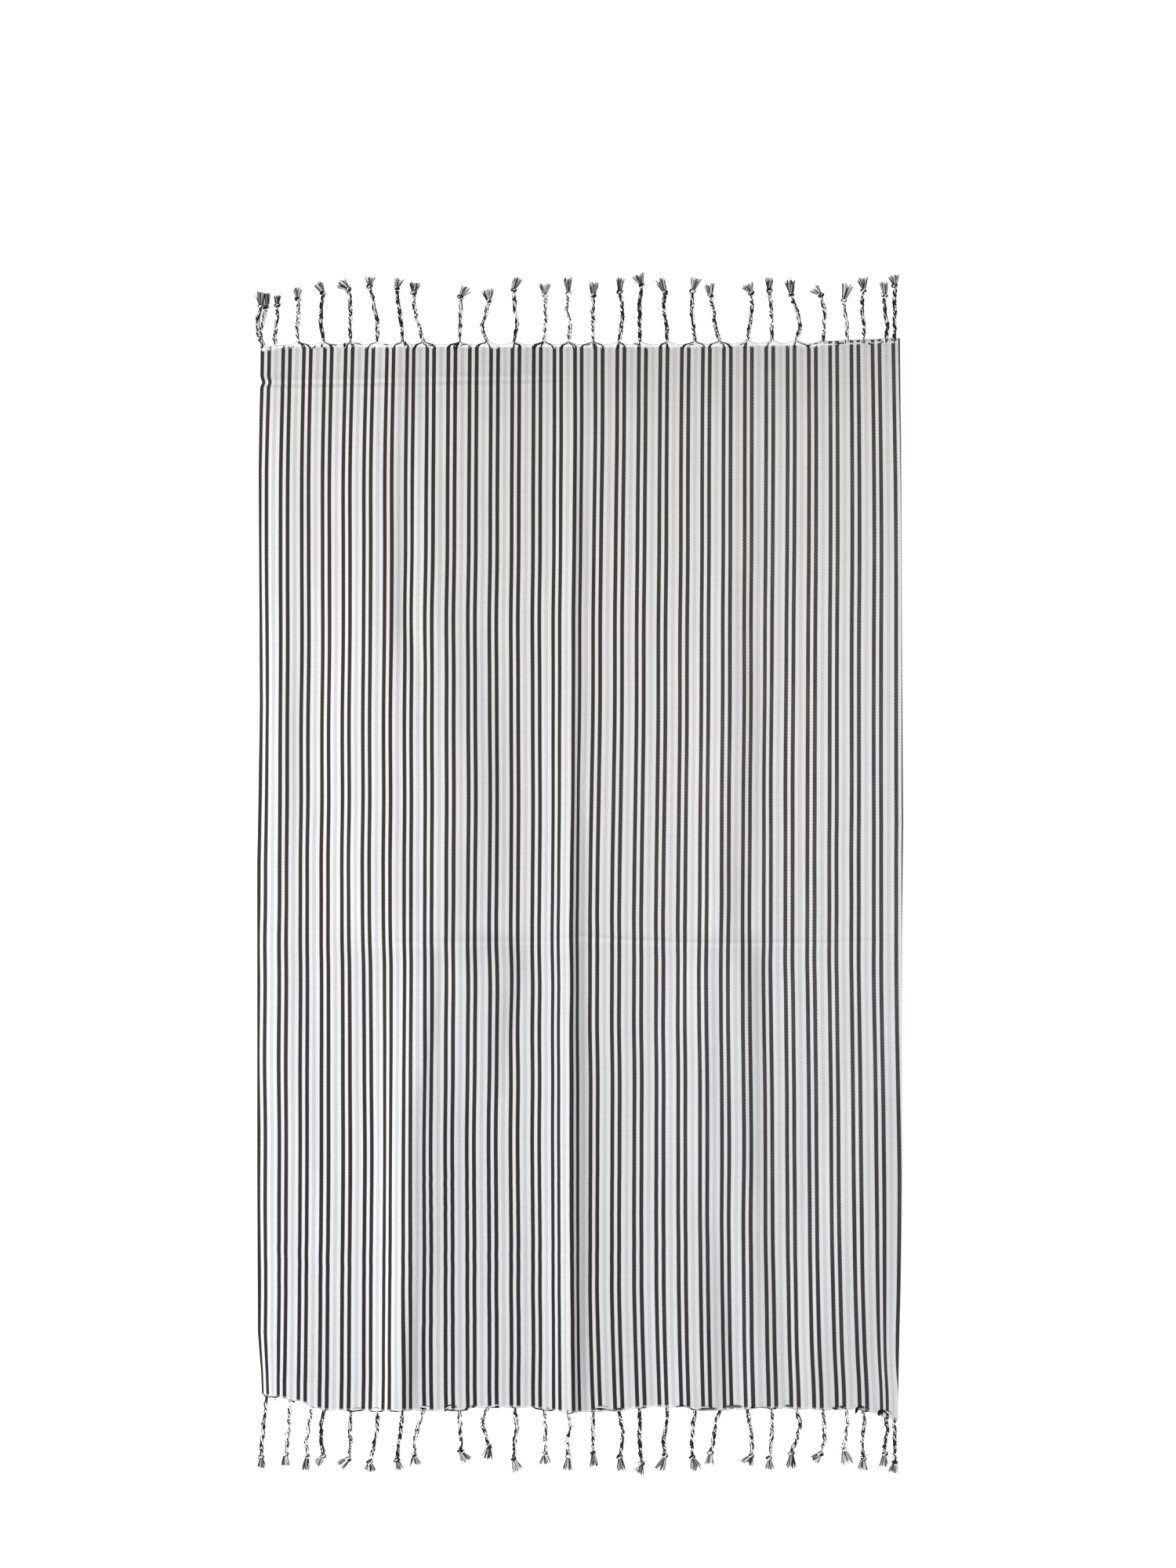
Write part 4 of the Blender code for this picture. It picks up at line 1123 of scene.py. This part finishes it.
def add_tassel(paths, end_name, tassel):
    """The paths of one tassel: its cord, its knot, its brush and its loose yarns."""
    side = ENDS[end_name][0]
    knot_x, knot_y, tip_x, tip_y, width, turns, dark_yarns, dark_share = tassel[3:]
    knot_y, tip_y = side * knot_y, side * tip_y
    line = cord_line(end_name, tassel)
    from_root = np.abs(line[:, 1] - line[0, 1])
    to_knot = np.abs(line[:, 1] - knot_y)
    share = np.linspace(0.0, 1.0, CORD_POINTS)
    spread = (0.5 + 0.5 * smooth(from_root / 8.0)) * (0.5 + 0.5 * smooth((to_knot - 1.0) / 7.0))
    spread = spread * (1.0 + SPREAD_WAVER * np.sin(share * 29.0 + dice.uniform(0.0, 6.0)))
    twist = dice.uniform(0.0, 1.0) + turns * share
    twist = twist + TWIST_WAVER * np.sin(share * 11.0 + dice.uniform(0.0, 6.0))
    plaited = 1.0 if turns >= FEWEST_PLAIT_TURNS else 0.0
    patches = np.sin(share * dice.uniform(26.0, 36.0) + dice.uniform(0.0, 6.0))
    patches += 0.6 * np.sin(share * dice.uniform(9.0, 14.0) + dice.uniform(0.0, 6.0))
    paths.add(line, kind=CORD, spread=spread, twist=twist, plaited=plaited,
              dark_yarns=dark_yarns + DARK_PATCHES * patches)

    lean = math.atan2(tip_x - knot_x, abs(tip_y - knot_y))
    heading = np.array([math.sin(0.5 * lean), side * math.cos(0.5 * lean)])
    centre = np.array([knot_x, knot_y, KNOT_CENTRE])
    wrap = knot_line(centre, heading, dice.uniform(0.0, 2 * math.pi))
    paths.add(wrap, closed=True, kind=KNOT, twist=np.linspace(0.0, 2.0, len(wrap)),
              dark_yarns=1 if dark_yarns < 4 else 2)
    for _ in range(STRAYS):
        add_stray(paths, centre, heading, int(dice.integers(0, 2)))

    root = centre[:2] + heading * KNOT_HALF_LENGTH * 0.4
    tip = np.array([tip_x, tip_y])
    ahead = (tip - root) / np.linalg.norm(tip - root)
    share = np.linspace(0.0, 1.0, 7)
    flat = root + np.outer(share, tip - root)
    rise = BRUSH_ROOT + (BRUSH_TIP - BRUSH_ROOT) * smooth(share)
    opening = share**0.8
    half_width = (BRUSH_ROOT_HALF_WIDTH
                  + (BRUSH_FULLNESS * width / 2 - BRUSH_ROOT_HALF_WIDTH) * opening)
    line = np.column_stack([flat, rise])
    paths.add(line, kind=BRUSH, spread=half_width, girth=1.0 - 0.35 * share**2,
              dark_share=dark_share, start=tuple(line[0] * MM),
              sideways=(-ahead[1], ahead[0], 0.0))


print("helpers for tassels ready")

# %% Yarns gathered out of the woven end
YARN_PITCH = 2.6            # between two gathered yarns where they leave the cloth
FEWEST_GATHERED = 5         # at a root
GATHER_POINTS = 13
UP_THE_CORD = 4.0           # how far the gathered yarns can still be told apart
BANDS_DARK = ((0.0, 0.174), (0.329, 0.503))
BAND_BLUE = (0.655, 0.838)
BLUE_YARN = 0.92            # how light a pale blue yarn is beside a natural one
LEAN_START, LEAN_LENGTH = 0.03, 0.77       # shares of its path over which a yarn leans to the root
LEAN_REACH = 0.9            # how much of the way to the root's middle it goes
ROOT_OUTSIDE = 1.5          # the yarns run in this far outside the cord's start
STARTS_INSIDE = {"top": 2.5, "bottom": 1.0}
START_DEPTH = 0.9           # the starts are sunk in the cloth, so that no cut end shows
PALE_DEPTH = 0.25           # pale yarns lie this much deeper than dark ones
# the pale gathered yarns are darker at the bottom end as painted shade, matching the painted light
# falloff of the cloth there
PALE_YARN = {"top": 1.0, "bottom": 0.8}    # how light the pale gathered yarns look at each end
THREAD_STEP, THREAD_TURN = 2.5, 6.5        # of the edge's thread: point to point, and one twist
THREAD_PROUD, THREAD_SHADE = 0.3, 0.8
ROLL_POINTS = 7
ROLL_BEND = 3.0             # a rolled bit's ends lie a quarter of this below its middle


def stripe_at(end_name, x):
    """Number of dark yarns and the pale shade of the warp at a place along a woven end."""
    row = -1 if end_name == "top" else 0
    flat = np.interp(x, points[row, 0], points[row, 3])
    share = (flat / STRIPE_REPEAT) % 1.0
    dark = any(low <= share < high for low, high in BANDS_DARK)
    blue = BAND_BLUE[0] <= share < BAND_BLUE[1]
    return (1 if dark else 0), (BLUE_YARN if blue else 1.0)


def add_gathers(paths, end_name):
    """Yarns that leave the woven end, lean along its edge and run into the nearest root."""
    side, table, _ = ENDS[end_name]
    for root, left_reach, right_reach in gathers(end_name):
        count = max(FEWEST_GATHERED, round((left_reach + right_reach) / YARN_PITCH))
        starts = np.linspace(root - left_reach, root + right_reach, count + 1)[:-1]
        for start_x in starts + YARN_PITCH * dice.uniform(0.2, 0.8, count):
            reach = left_reach if start_x < root else right_reach
            farness = min(1.0, abs(start_x - root) / max(1.0, reach))
            share = np.linspace(0.0, 1.0, GATHER_POINTS)
            leaning = smooth((share - LEAN_START) / LEAN_LENGTH)
            x = start_x + (root - start_x) * leaning * LEAN_REACH
            outwards = 0.45 + 0.5 * farness + dice.uniform(-0.12, 0.05)
            at_start = STARTS_INSIDE[end_name] * (1.0 - smooth(share / 0.25))
            inside = set_back(end_name, x) - ROOT_OUTSIDE + at_start
            straight_end = straight_between(table, x)
            pulled = outwards * smooth(share / 0.3) * side * (end_line(end_name, x) - straight_end)
            y = (straight_end + side * (pulled - inside)
                 + side * UP_THE_CORD * smooth((share - 0.72) / 0.28))
            dark, pale = stripe_at(end_name, start_x)
            dark = dark if dice.random() < straight_between(DARK_SHOWS[end_name], start_x) else 0
            sunk = START_DEPTH * (1.0 - smooth(share / 0.3)) + PALE_DEPTH * (1 - dark)
            rise = cloth_height(x, y) + SHEET_THICKNESS + dice.uniform(0.0, 0.4) - sunk
            paths.add(np.column_stack([x, y, rise]), kind=GATHER, dark_yarns=dark,
                      pale_shade=pale * PALE_YARN[end_name] * dice.uniform(0.96, 1.0),
                      girth=(dice.uniform(1.3, 1.6) + 0.3 * dark) * (1.0 - 0.6 * share))


def add_edge_thread(paths, end_name):
    """The pale thread that holds the woven edge, from root to root."""
    side = ENDS[end_name][0]
    x = np.arange(-SELVEDGE + 3.0, SELVEDGE - 3.0, THREAD_STEP)
    y = end_line(end_name, x) + side * THREAD_PROUD
    rise = cloth_height(x, y) + SHEET_THICKNESS * 0.7
    paths.add(np.stack([x, y, rise], axis=1), kind=EDGE, pale_shade=THREAD_SHADE,
              twist=(x + SELVEDGE) / THREAD_TURN)


def add_rolled_bits_and_shadows(paths, end_name):
    """Short rolls of the woven end, and strips of painted shadow along it, thinner towards both
    their ends.
    """
    for middle_x, middle_y, length, thickness, turn, shade in ROLLED_BITS_AND_SHADOWS[end_name]:
        share = np.linspace(-0.5, 0.5, ROLL_POINTS)
        x = middle_x + length * share * math.cos(math.radians(turn))
        y = middle_y + length * share * math.sin(math.radians(turn)) - ROLL_BEND * share**2
        rise = cloth_height(x, y) + SHEET_THICKNESS + 0.8 + 0.2 * thickness
        girth = (0.35 + 0.65 * np.sqrt(1.0 - (2 * share) ** 2)) * thickness / 1.6
        paths.add(np.column_stack([x, y, rise]), kind=GATHER, pale_shade=shade, girth=girth)


fringe_paths = {}
for end_name, (_, _, tassels) in ENDS.items():
    paths = Paths()
    for tassel in tassels:
        add_tassel(paths, end_name, tassel)
    add_gathers(paths, end_name)
    add_edge_thread(paths, end_name)
    add_rolled_bits_and_shadows(paths, end_name)
    fringe_paths[end_name] = paths.mesh(f"{end_name}_paths")
    print(end_name, "fringe:", paths.count, "paths,", len(paths.points), "points")

# %% [markdown]
# ## From a path to its yarns
# A cord on the real towel is three plies plaited or twisted together, each of a few yarns.
# Modelling one and copying it would make every tassel alike.  Instead a Geometry Nodes group
# repeats a path once for each yarn, and moves every copy off the middle twice: once for its ply
# and once for its place in the ply.  A plait's ply swings from side to side once while it rises
# and falls twice; a twisted one goes round.  Which yarns are dark is shuffled from path to path.
# The same group with other numbers makes the wraps of a knot, the thread along the edge and single
# yarns.

# %% Geometry group: tubes on curves
def named(tree, label, kind="FLOAT"):
    """A named attribute."""
    node = add(tree, "GeometryNodeInputNamedAttribute", {"Name": label}, data_type=kind)
    return node.outputs["Attribute"]


yarn_tubes, given, made = new_group(
    "yarn_tubes", "GeometryNodeTree",
    {"Curves": GEOMETRY, "Shade": 1.0, "Yarn radius": 0.0007, "Sides": 5}, {"Mesh": GEOMETRY})
tree = yarn_tubes
shaded = add(tree, "GeometryNodeStoreNamedAttribute", {
    "Geometry": given["Curves"], "Name": "shade", "Value": given["Shade"]},
    data_type="FLOAT", domain="POINT")
profile = add(tree, "GeometryNodeCurvePrimitiveCircle", {
    "Resolution": given["Sides"], "Radius": 1.0})
tubes = add(tree, "GeometryNodeCurveToMesh", {
    "Curve": shaded.outputs[0], "Profile Curve": profile.outputs["Curve"],
    "Scale": product(tree, named(tree, "girth"), given["Yarn radius"]), "Fill Caps": True})
soft = add(tree, "GeometryNodeSetShadeSmooth", {"Geometry": tubes.outputs[0]})
tree.links.new(soft.outputs[0], made["Mesh"])
print("group:", tree.name)

# %% Steps that both yarn groups take
IDENTITY_STEP = 7919.0        # more than there are paths, so every copy has its own identity


def paths_of_kind(tree, given):
    """Curves through the paths whose kind is wanted, with points at an even spacing."""
    wanted = add(tree, "FunctionNodeCompare", {
        0: named(tree, "kind"), 1: given["Kind"], "Epsilon": 0.1},
        data_type="FLOAT", operation="EQUAL").outputs[0]
    curves = add(tree, "GeometryNodeMeshToCurve", {
        "Mesh": given["Paths"], "Selection": wanted}).outputs[0]
    return add(tree, "GeometryNodeResampleCurve", {
        "Curve": curves, "Length": given["Spacing"]}, mode="LENGTH").outputs[0]


def copied(tree, curves, amount):
    """Copies of every curve, and the number of each copy."""
    copies = add(tree, "GeometryNodeDuplicateElements", {
        "Geometry": curves, "Amount": amount}, domain="SPLINE")
    return copies.outputs["Geometry"], copies.outputs["Duplicate Index"]


def chance(tree, low, high, seed, number):
    """A random value for each copy of each path, the same on every run."""
    identity = maths(tree, "ADD", named(tree, "identity"), product(tree, number, IDENTITY_STEP))
    return add(tree, "FunctionNodeRandomValue", {
        2: low, 3: high, "ID": identity, "Seed": seed}, data_type="FLOAT").outputs[1]


def turned_by(tree, turn, factor=1.0):
    """The angle of a number of turns."""
    return product(tree, turn, 2 * math.pi * factor)


def upwards(tree, height):
    """A vector that points straight up."""
    return add(tree, "ShaderNodeCombineXYZ", {"Z": height}).outputs[0]


def moved_tubes(tree, given, made, curves, step, shade):
    """Move the curves by a step and give out a shaded yarn along each."""
    moved = add(tree, "GeometryNodeSetPosition", {"Geometry": curves, "Offset": step}).outputs[0]
    tubes = add(tree, "GeometryNodeGroup", {
        "Curves": moved, "Shade": shade, "Yarn radius": given["Yarn radius"],
        "Sides": given["Sides"]}, node_tree=yarn_tubes)
    tree.links.new(tubes.outputs[0], made["Mesh"])


print("helpers for yarns ready")

# %% Geometry group: twisted and plaited yarns
PLAIT_DEPTH, TWIST_DEPTH = 0.55, 0.5       # rise and fall, as a share of the swing sideways
YARN_TWIST = -1.3                          # turns of a ply's yarns for each turn of the plies
PALE_RANGE, DARK_RANGE = (0.88, 1.0), (0.0, 0.09)
SHUFFLE_STEP = 4.0                         # spreads the dark yarns over the plies

laid_yarns, given, made = new_group(
    "laid_yarns", "GeometryNodeTree",
    {"Paths": GEOMETRY, "Kind": 0.0, "Spacing": 0.002, "Plies": 3.0, "Ply swing": 0.002,
     "Yarns in a ply": 3.0, "Yarn circle": 0.0007, "Yarn radius": 0.0007, "Sides": 5},
    {"Mesh": GEOMETRY})
tree = laid_yarns
centred = add(tree, "GeometryNodeSetCurveNormal", {0: paths_of_kind(tree, given)},
              mode="MINIMUM_TWIST").outputs[0]
yarn_count = product(tree, given["Plies"], given["Yarns in a ply"])
copies, number = copied(tree, centred, yarn_count)
ply = maths(tree, "FLOOR", maths(tree, "DIVIDE", number, given["Yarns in a ply"]))
member = maths(tree, "SUBTRACT", number, product(tree, ply, given["Yarns in a ply"]))
twist = named(tree, "twist")
ply_turn = maths(tree, "ADD", twist, maths(tree, "DIVIDE", ply, given["Plies"]))
yarn_turn = maths(tree, "ADD", product(tree, twist, YARN_TWIST),
                  maths(tree, "DIVIDE", member, given["Yarns in a ply"]))
normal = add(tree, "GeometryNodeInputNormal").outputs["Normal"]
tangent = add(tree, "GeometryNodeInputTangent").outputs["Tangent"]

level = vector_maths(tree, "CROSS_PRODUCT", tangent, (0.0, 0.0, 1.0))
aside = vector_maths(tree, "NORMALIZE", level)
swing = product(tree, given["Ply swing"], named(tree, "spread"))
to_side = product(tree, swing, maths(tree, "SINE", turned_by(tree, ply_turn)))
plait_rise = product(tree, PLAIT_DEPTH, maths(tree, "SINE", turned_by(tree, ply_turn, 2.0)))
twist_rise = product(tree, TWIST_DEPTH, maths(tree, "COSINE", turned_by(tree, ply_turn)))
rise_share = mixed(tree, named(tree, "plaited"), twist_rise, plait_rise)
ply_step = vector_maths(
    tree, "ADD", scaled(tree, aside, to_side), upwards(tree, product(tree, swing, rise_share)))

across = vector_maths(tree, "CROSS_PRODUCT", tangent, normal)
angle = turned_by(tree, yarn_turn)
off_normal, off_across = (
    scaled(tree, way, product(tree, maths(tree, wave, angle), given["Yarn circle"]))
    for way, wave in ((normal, "COSINE"), (across, "SINE")))
yarn_step = vector_maths(tree, "ADD", off_normal, off_across)

stepped = maths(tree, "ADD", product(tree, number, SHUFFLE_STEP), named(tree, "identity"))
is_dark = maths(tree, "LESS_THAN", maths(tree, "MODULO", stepped, yarn_count),
                named(tree, "dark_yarns"))
pale_shade = product(tree, named(tree, "pale_shade"), chance(tree, *PALE_RANGE, 8, number))
shade = mixed(tree, is_dark, pale_shade, chance(tree, *DARK_RANGE, 9, number))
both_steps = vector_maths(tree, "ADD", ply_step, yarn_step)
moved_tubes(tree, given, made, copies, both_steps, shade)
print("group:", tree.name)

# %% [markdown]
# ## Brushes
# Below its knot a cord comes apart into a brush of cut yarn ends.  They start close together,
# fan out, and end at slightly different lengths.  Hair particles would do this too, but they don't
# export as a mesh.  A second group repeats each brush's path and gives every copy its own place
# across the fan, length, bend and shade, from random values with a fixed seed.

# %% Geometry group: fanned yarns
FAN_JITTER = 0.16                          # of a yarn's place in the fan
LENGTH_CHANGE = (-0.26, 0.08)              # as a share of the brush's length
STACK_FALL = 0.6                           # how much of the brush's height is gone at its end
BRUSH_PALE, BRUSH_DARK = (0.38, 0.85), (0.02, 0.26)
DARKEST_DRAW = 1.3                         # above 1, so that no brush is all dark

fanned_yarns, given, made = new_group(
    "fanned_yarns", "GeometryNodeTree",
    {"Paths": GEOMETRY, "Kind": BRUSH, "Spacing": 0.003, "Strands": 18.0, "Yarn radius": 0.00075,
     "Sides": 4, "Bend": 0.0022, "Stack": 0.0022},
    {"Mesh": GEOMETRY})
tree = fanned_yarns
copies, number = copied(tree, paths_of_kind(tree, given), given["Strands"])
along = add(tree, "GeometryNodeSplineParameter").outputs["Factor"]
half_count = product(tree, given["Strands"], 0.5)
even_place = maths(tree, "SUBTRACT", maths(
    tree, "DIVIDE", maths(tree, "ADD", number, 0.5), half_count), 1.0)
place_in_fan = maths(tree, "ADD", even_place, chance(tree, -FAN_JITTER, FAN_JITTER, 1, number))
fan = product(tree, named(tree, "spread"), MM, place_in_fan)
bend = product(tree, product(tree, along, along),
               product(tree, given["Bend"], chance(tree, -1.0, 1.0, 2, number)))
sideways = scaled(tree, named(tree, "sideways", "FLOAT_VECTOR"), maths(tree, "ADD", fan, bend))
position = add(tree, "GeometryNodeInputPosition").outputs[0]
reach = vector_maths(tree, "SUBTRACT", position, named(tree, "start", "FLOAT_VECTOR"))
length_change = scaled(tree, reach, chance(tree, *LENGTH_CHANGE, 3, number))
height_left = maths(tree, "SUBTRACT", 1.0, product(tree, along, STACK_FALL))
lift = product(tree, chance(tree, 0.0, 1.0, 4, number),
               product(tree, given["Stack"], height_left))
step = vector_maths(
    tree, "ADD", vector_maths(tree, "ADD", sideways, length_change), upwards(tree, lift))
is_dark = maths(tree, "LESS_THAN", chance(tree, 0.0, DARKEST_DRAW, 5, number),
                named(tree, "dark_share"))
shade = mixed(tree, is_dark, chance(tree, *BRUSH_PALE, 7, number),
              chance(tree, *BRUSH_DARK, 6, number))
moved_tubes(tree, given, made, copies, step, shade)
print("group:", tree.name)

# %% Geometry nodes: a whole fringe
LOWEST = 0.0001            # metres: no yarn goes below this, so none dips into the surface
THREE_YARNS = {"Yarns in a ply": 3.0, "Yarn circle": 0.00085, "Sides": 5}
SINGLE_YARN = {"Plies": 1.0, "Yarns in a ply": 1.0, "Ply swing": 0.0, "Yarn circle": 0.0,
               "Sides": 4}

whole_fringe, given, made = new_group(
    "whole_fringe", "GeometryNodeTree",
    {"Paths": GEOMETRY, "Cord yarn radius": 0.0008, "Cord swing": 0.00195,
     "Knot yarn radius": 0.0009, "Gathered yarn radius": 0.0008, "Edge thread radius": 0.0005,
     "Brush strands": 28.0, "Yarn": MATERIAL},
    {"Mesh": GEOMETRY})
tree = whole_fringe
RECIPES = (
    (laid_yarns, {**THREE_YARNS, "Kind": CORD, "Spacing": 0.0022, "Plies": 3.0,
                  "Ply swing": given["Cord swing"], "Yarn radius": given["Cord yarn radius"]}),
    (laid_yarns, {**THREE_YARNS, "Kind": KNOT, "Spacing": 0.0018, "Plies": 1.0, "Ply swing": 0.0,
                  "Yarn radius": given["Knot yarn radius"]}),
    (laid_yarns, {**SINGLE_YARN, "Kind": GATHER, "Spacing": 0.0022,
                  "Yarn radius": given["Gathered yarn radius"]}),
    (laid_yarns, {**SINGLE_YARN, "Kind": STRAY, "Spacing": 0.0015, "Yarn radius": 0.0004}),
    (laid_yarns, {**SINGLE_YARN, "Kind": EDGE, "Spacing": 0.0014, "Plies": 2.0,
                  "Ply swing": 0.00045, "Yarn radius": given["Edge thread radius"]}),
    (fanned_yarns, {"Kind": BRUSH, "Strands": given["Brush strands"]}),
)
joined = add(tree, "GeometryNodeJoinGeometry")
for group, sizes in RECIPES:
    yarns = add(tree, "GeometryNodeGroup", {"Paths": given["Paths"], **sizes}, node_tree=group)
    tree.links.new(yarns.outputs[0], joined.inputs[0])
realised = add(tree, "GeometryNodeRealizeInstances", {0: joined.outputs[0]}).outputs[0]
position = add(tree, "GeometryNodeInputPosition").outputs[0]
place = add(tree, "ShaderNodeSeparateXYZ", {0: position}).outputs
resting = add(tree, "ShaderNodeCombineXYZ", {
    "X": place["X"], "Y": place["Y"], "Z": maths(tree, "MAXIMUM", place["Z"], LOWEST)}).outputs[0]
rested = add(tree, "GeometryNodeSetPosition", {"Geometry": realised, "Position": resting})
finished = add(tree, "GeometryNodeSetMaterial", {
    "Geometry": rested.outputs[0], "Material": given["Yarn"]})
tree.links.new(finished.outputs[0], made["Mesh"])
print("tree:", tree.name, "with", len(RECIPES), "recipes")

# %% Both fringes as plain meshes
def input_name(tree, label):
    """The identifier of a tree's input, by its label."""
    return next(item.identifier for item in tree.interface.items_tree
                if item.item_type == "SOCKET" and item.in_out == "INPUT" and item.name == label)


def grown(name, mesh, tree, sizes):
    """Run a tree on a mesh, and keep the result as a plain mesh object with one material."""
    source = in_scene(f"{name}_source", mesh)
    modifier = source.modifiers.new("yarns", "NODES")
    modifier.node_group = tree
    for label, value in sizes.items():
        modifier[input_name(tree, label)] = value
    depsgraph = bpy.context.evaluated_depsgraph_get()
    result = bpy.data.meshes.new_from_object(
        source.evaluated_get(depsgraph), preserve_all_data_layers=True, depsgraph=depsgraph)
    bpy.data.objects.remove(source, do_unlink=True)
    result.name = name
    result.materials.clear()
    result.materials.append(sizes["Yarn"])
    result.polygons.foreach_set("material_index", np.zeros(len(result.polygons), dtype=np.int32))
    piece = in_scene(name, result)
    triangles = sum(len(face.vertices) - 2 for face in result.polygons)
    lowest = min(vertex.co.z for vertex in result.vertices) / MM
    print(f"{name}: {triangles} triangles, lowest point {lowest:.2f} mm")
    return piece


fringes = {end_name: grown(f"{end_name}_fringe_yarns", mesh, whole_fringe, {"Yarn": fringe_yarn})
           for end_name, mesh in fringe_paths.items()}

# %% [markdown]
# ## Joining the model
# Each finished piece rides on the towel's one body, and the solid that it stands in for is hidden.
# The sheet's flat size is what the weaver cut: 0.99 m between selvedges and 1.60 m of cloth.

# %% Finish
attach(striped_cloth, "root")
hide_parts("cloth")
for end_name, piece in fringes.items():
    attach(piece, "root")
    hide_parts(f"fringe_{end_name}")
list(fringes.values())
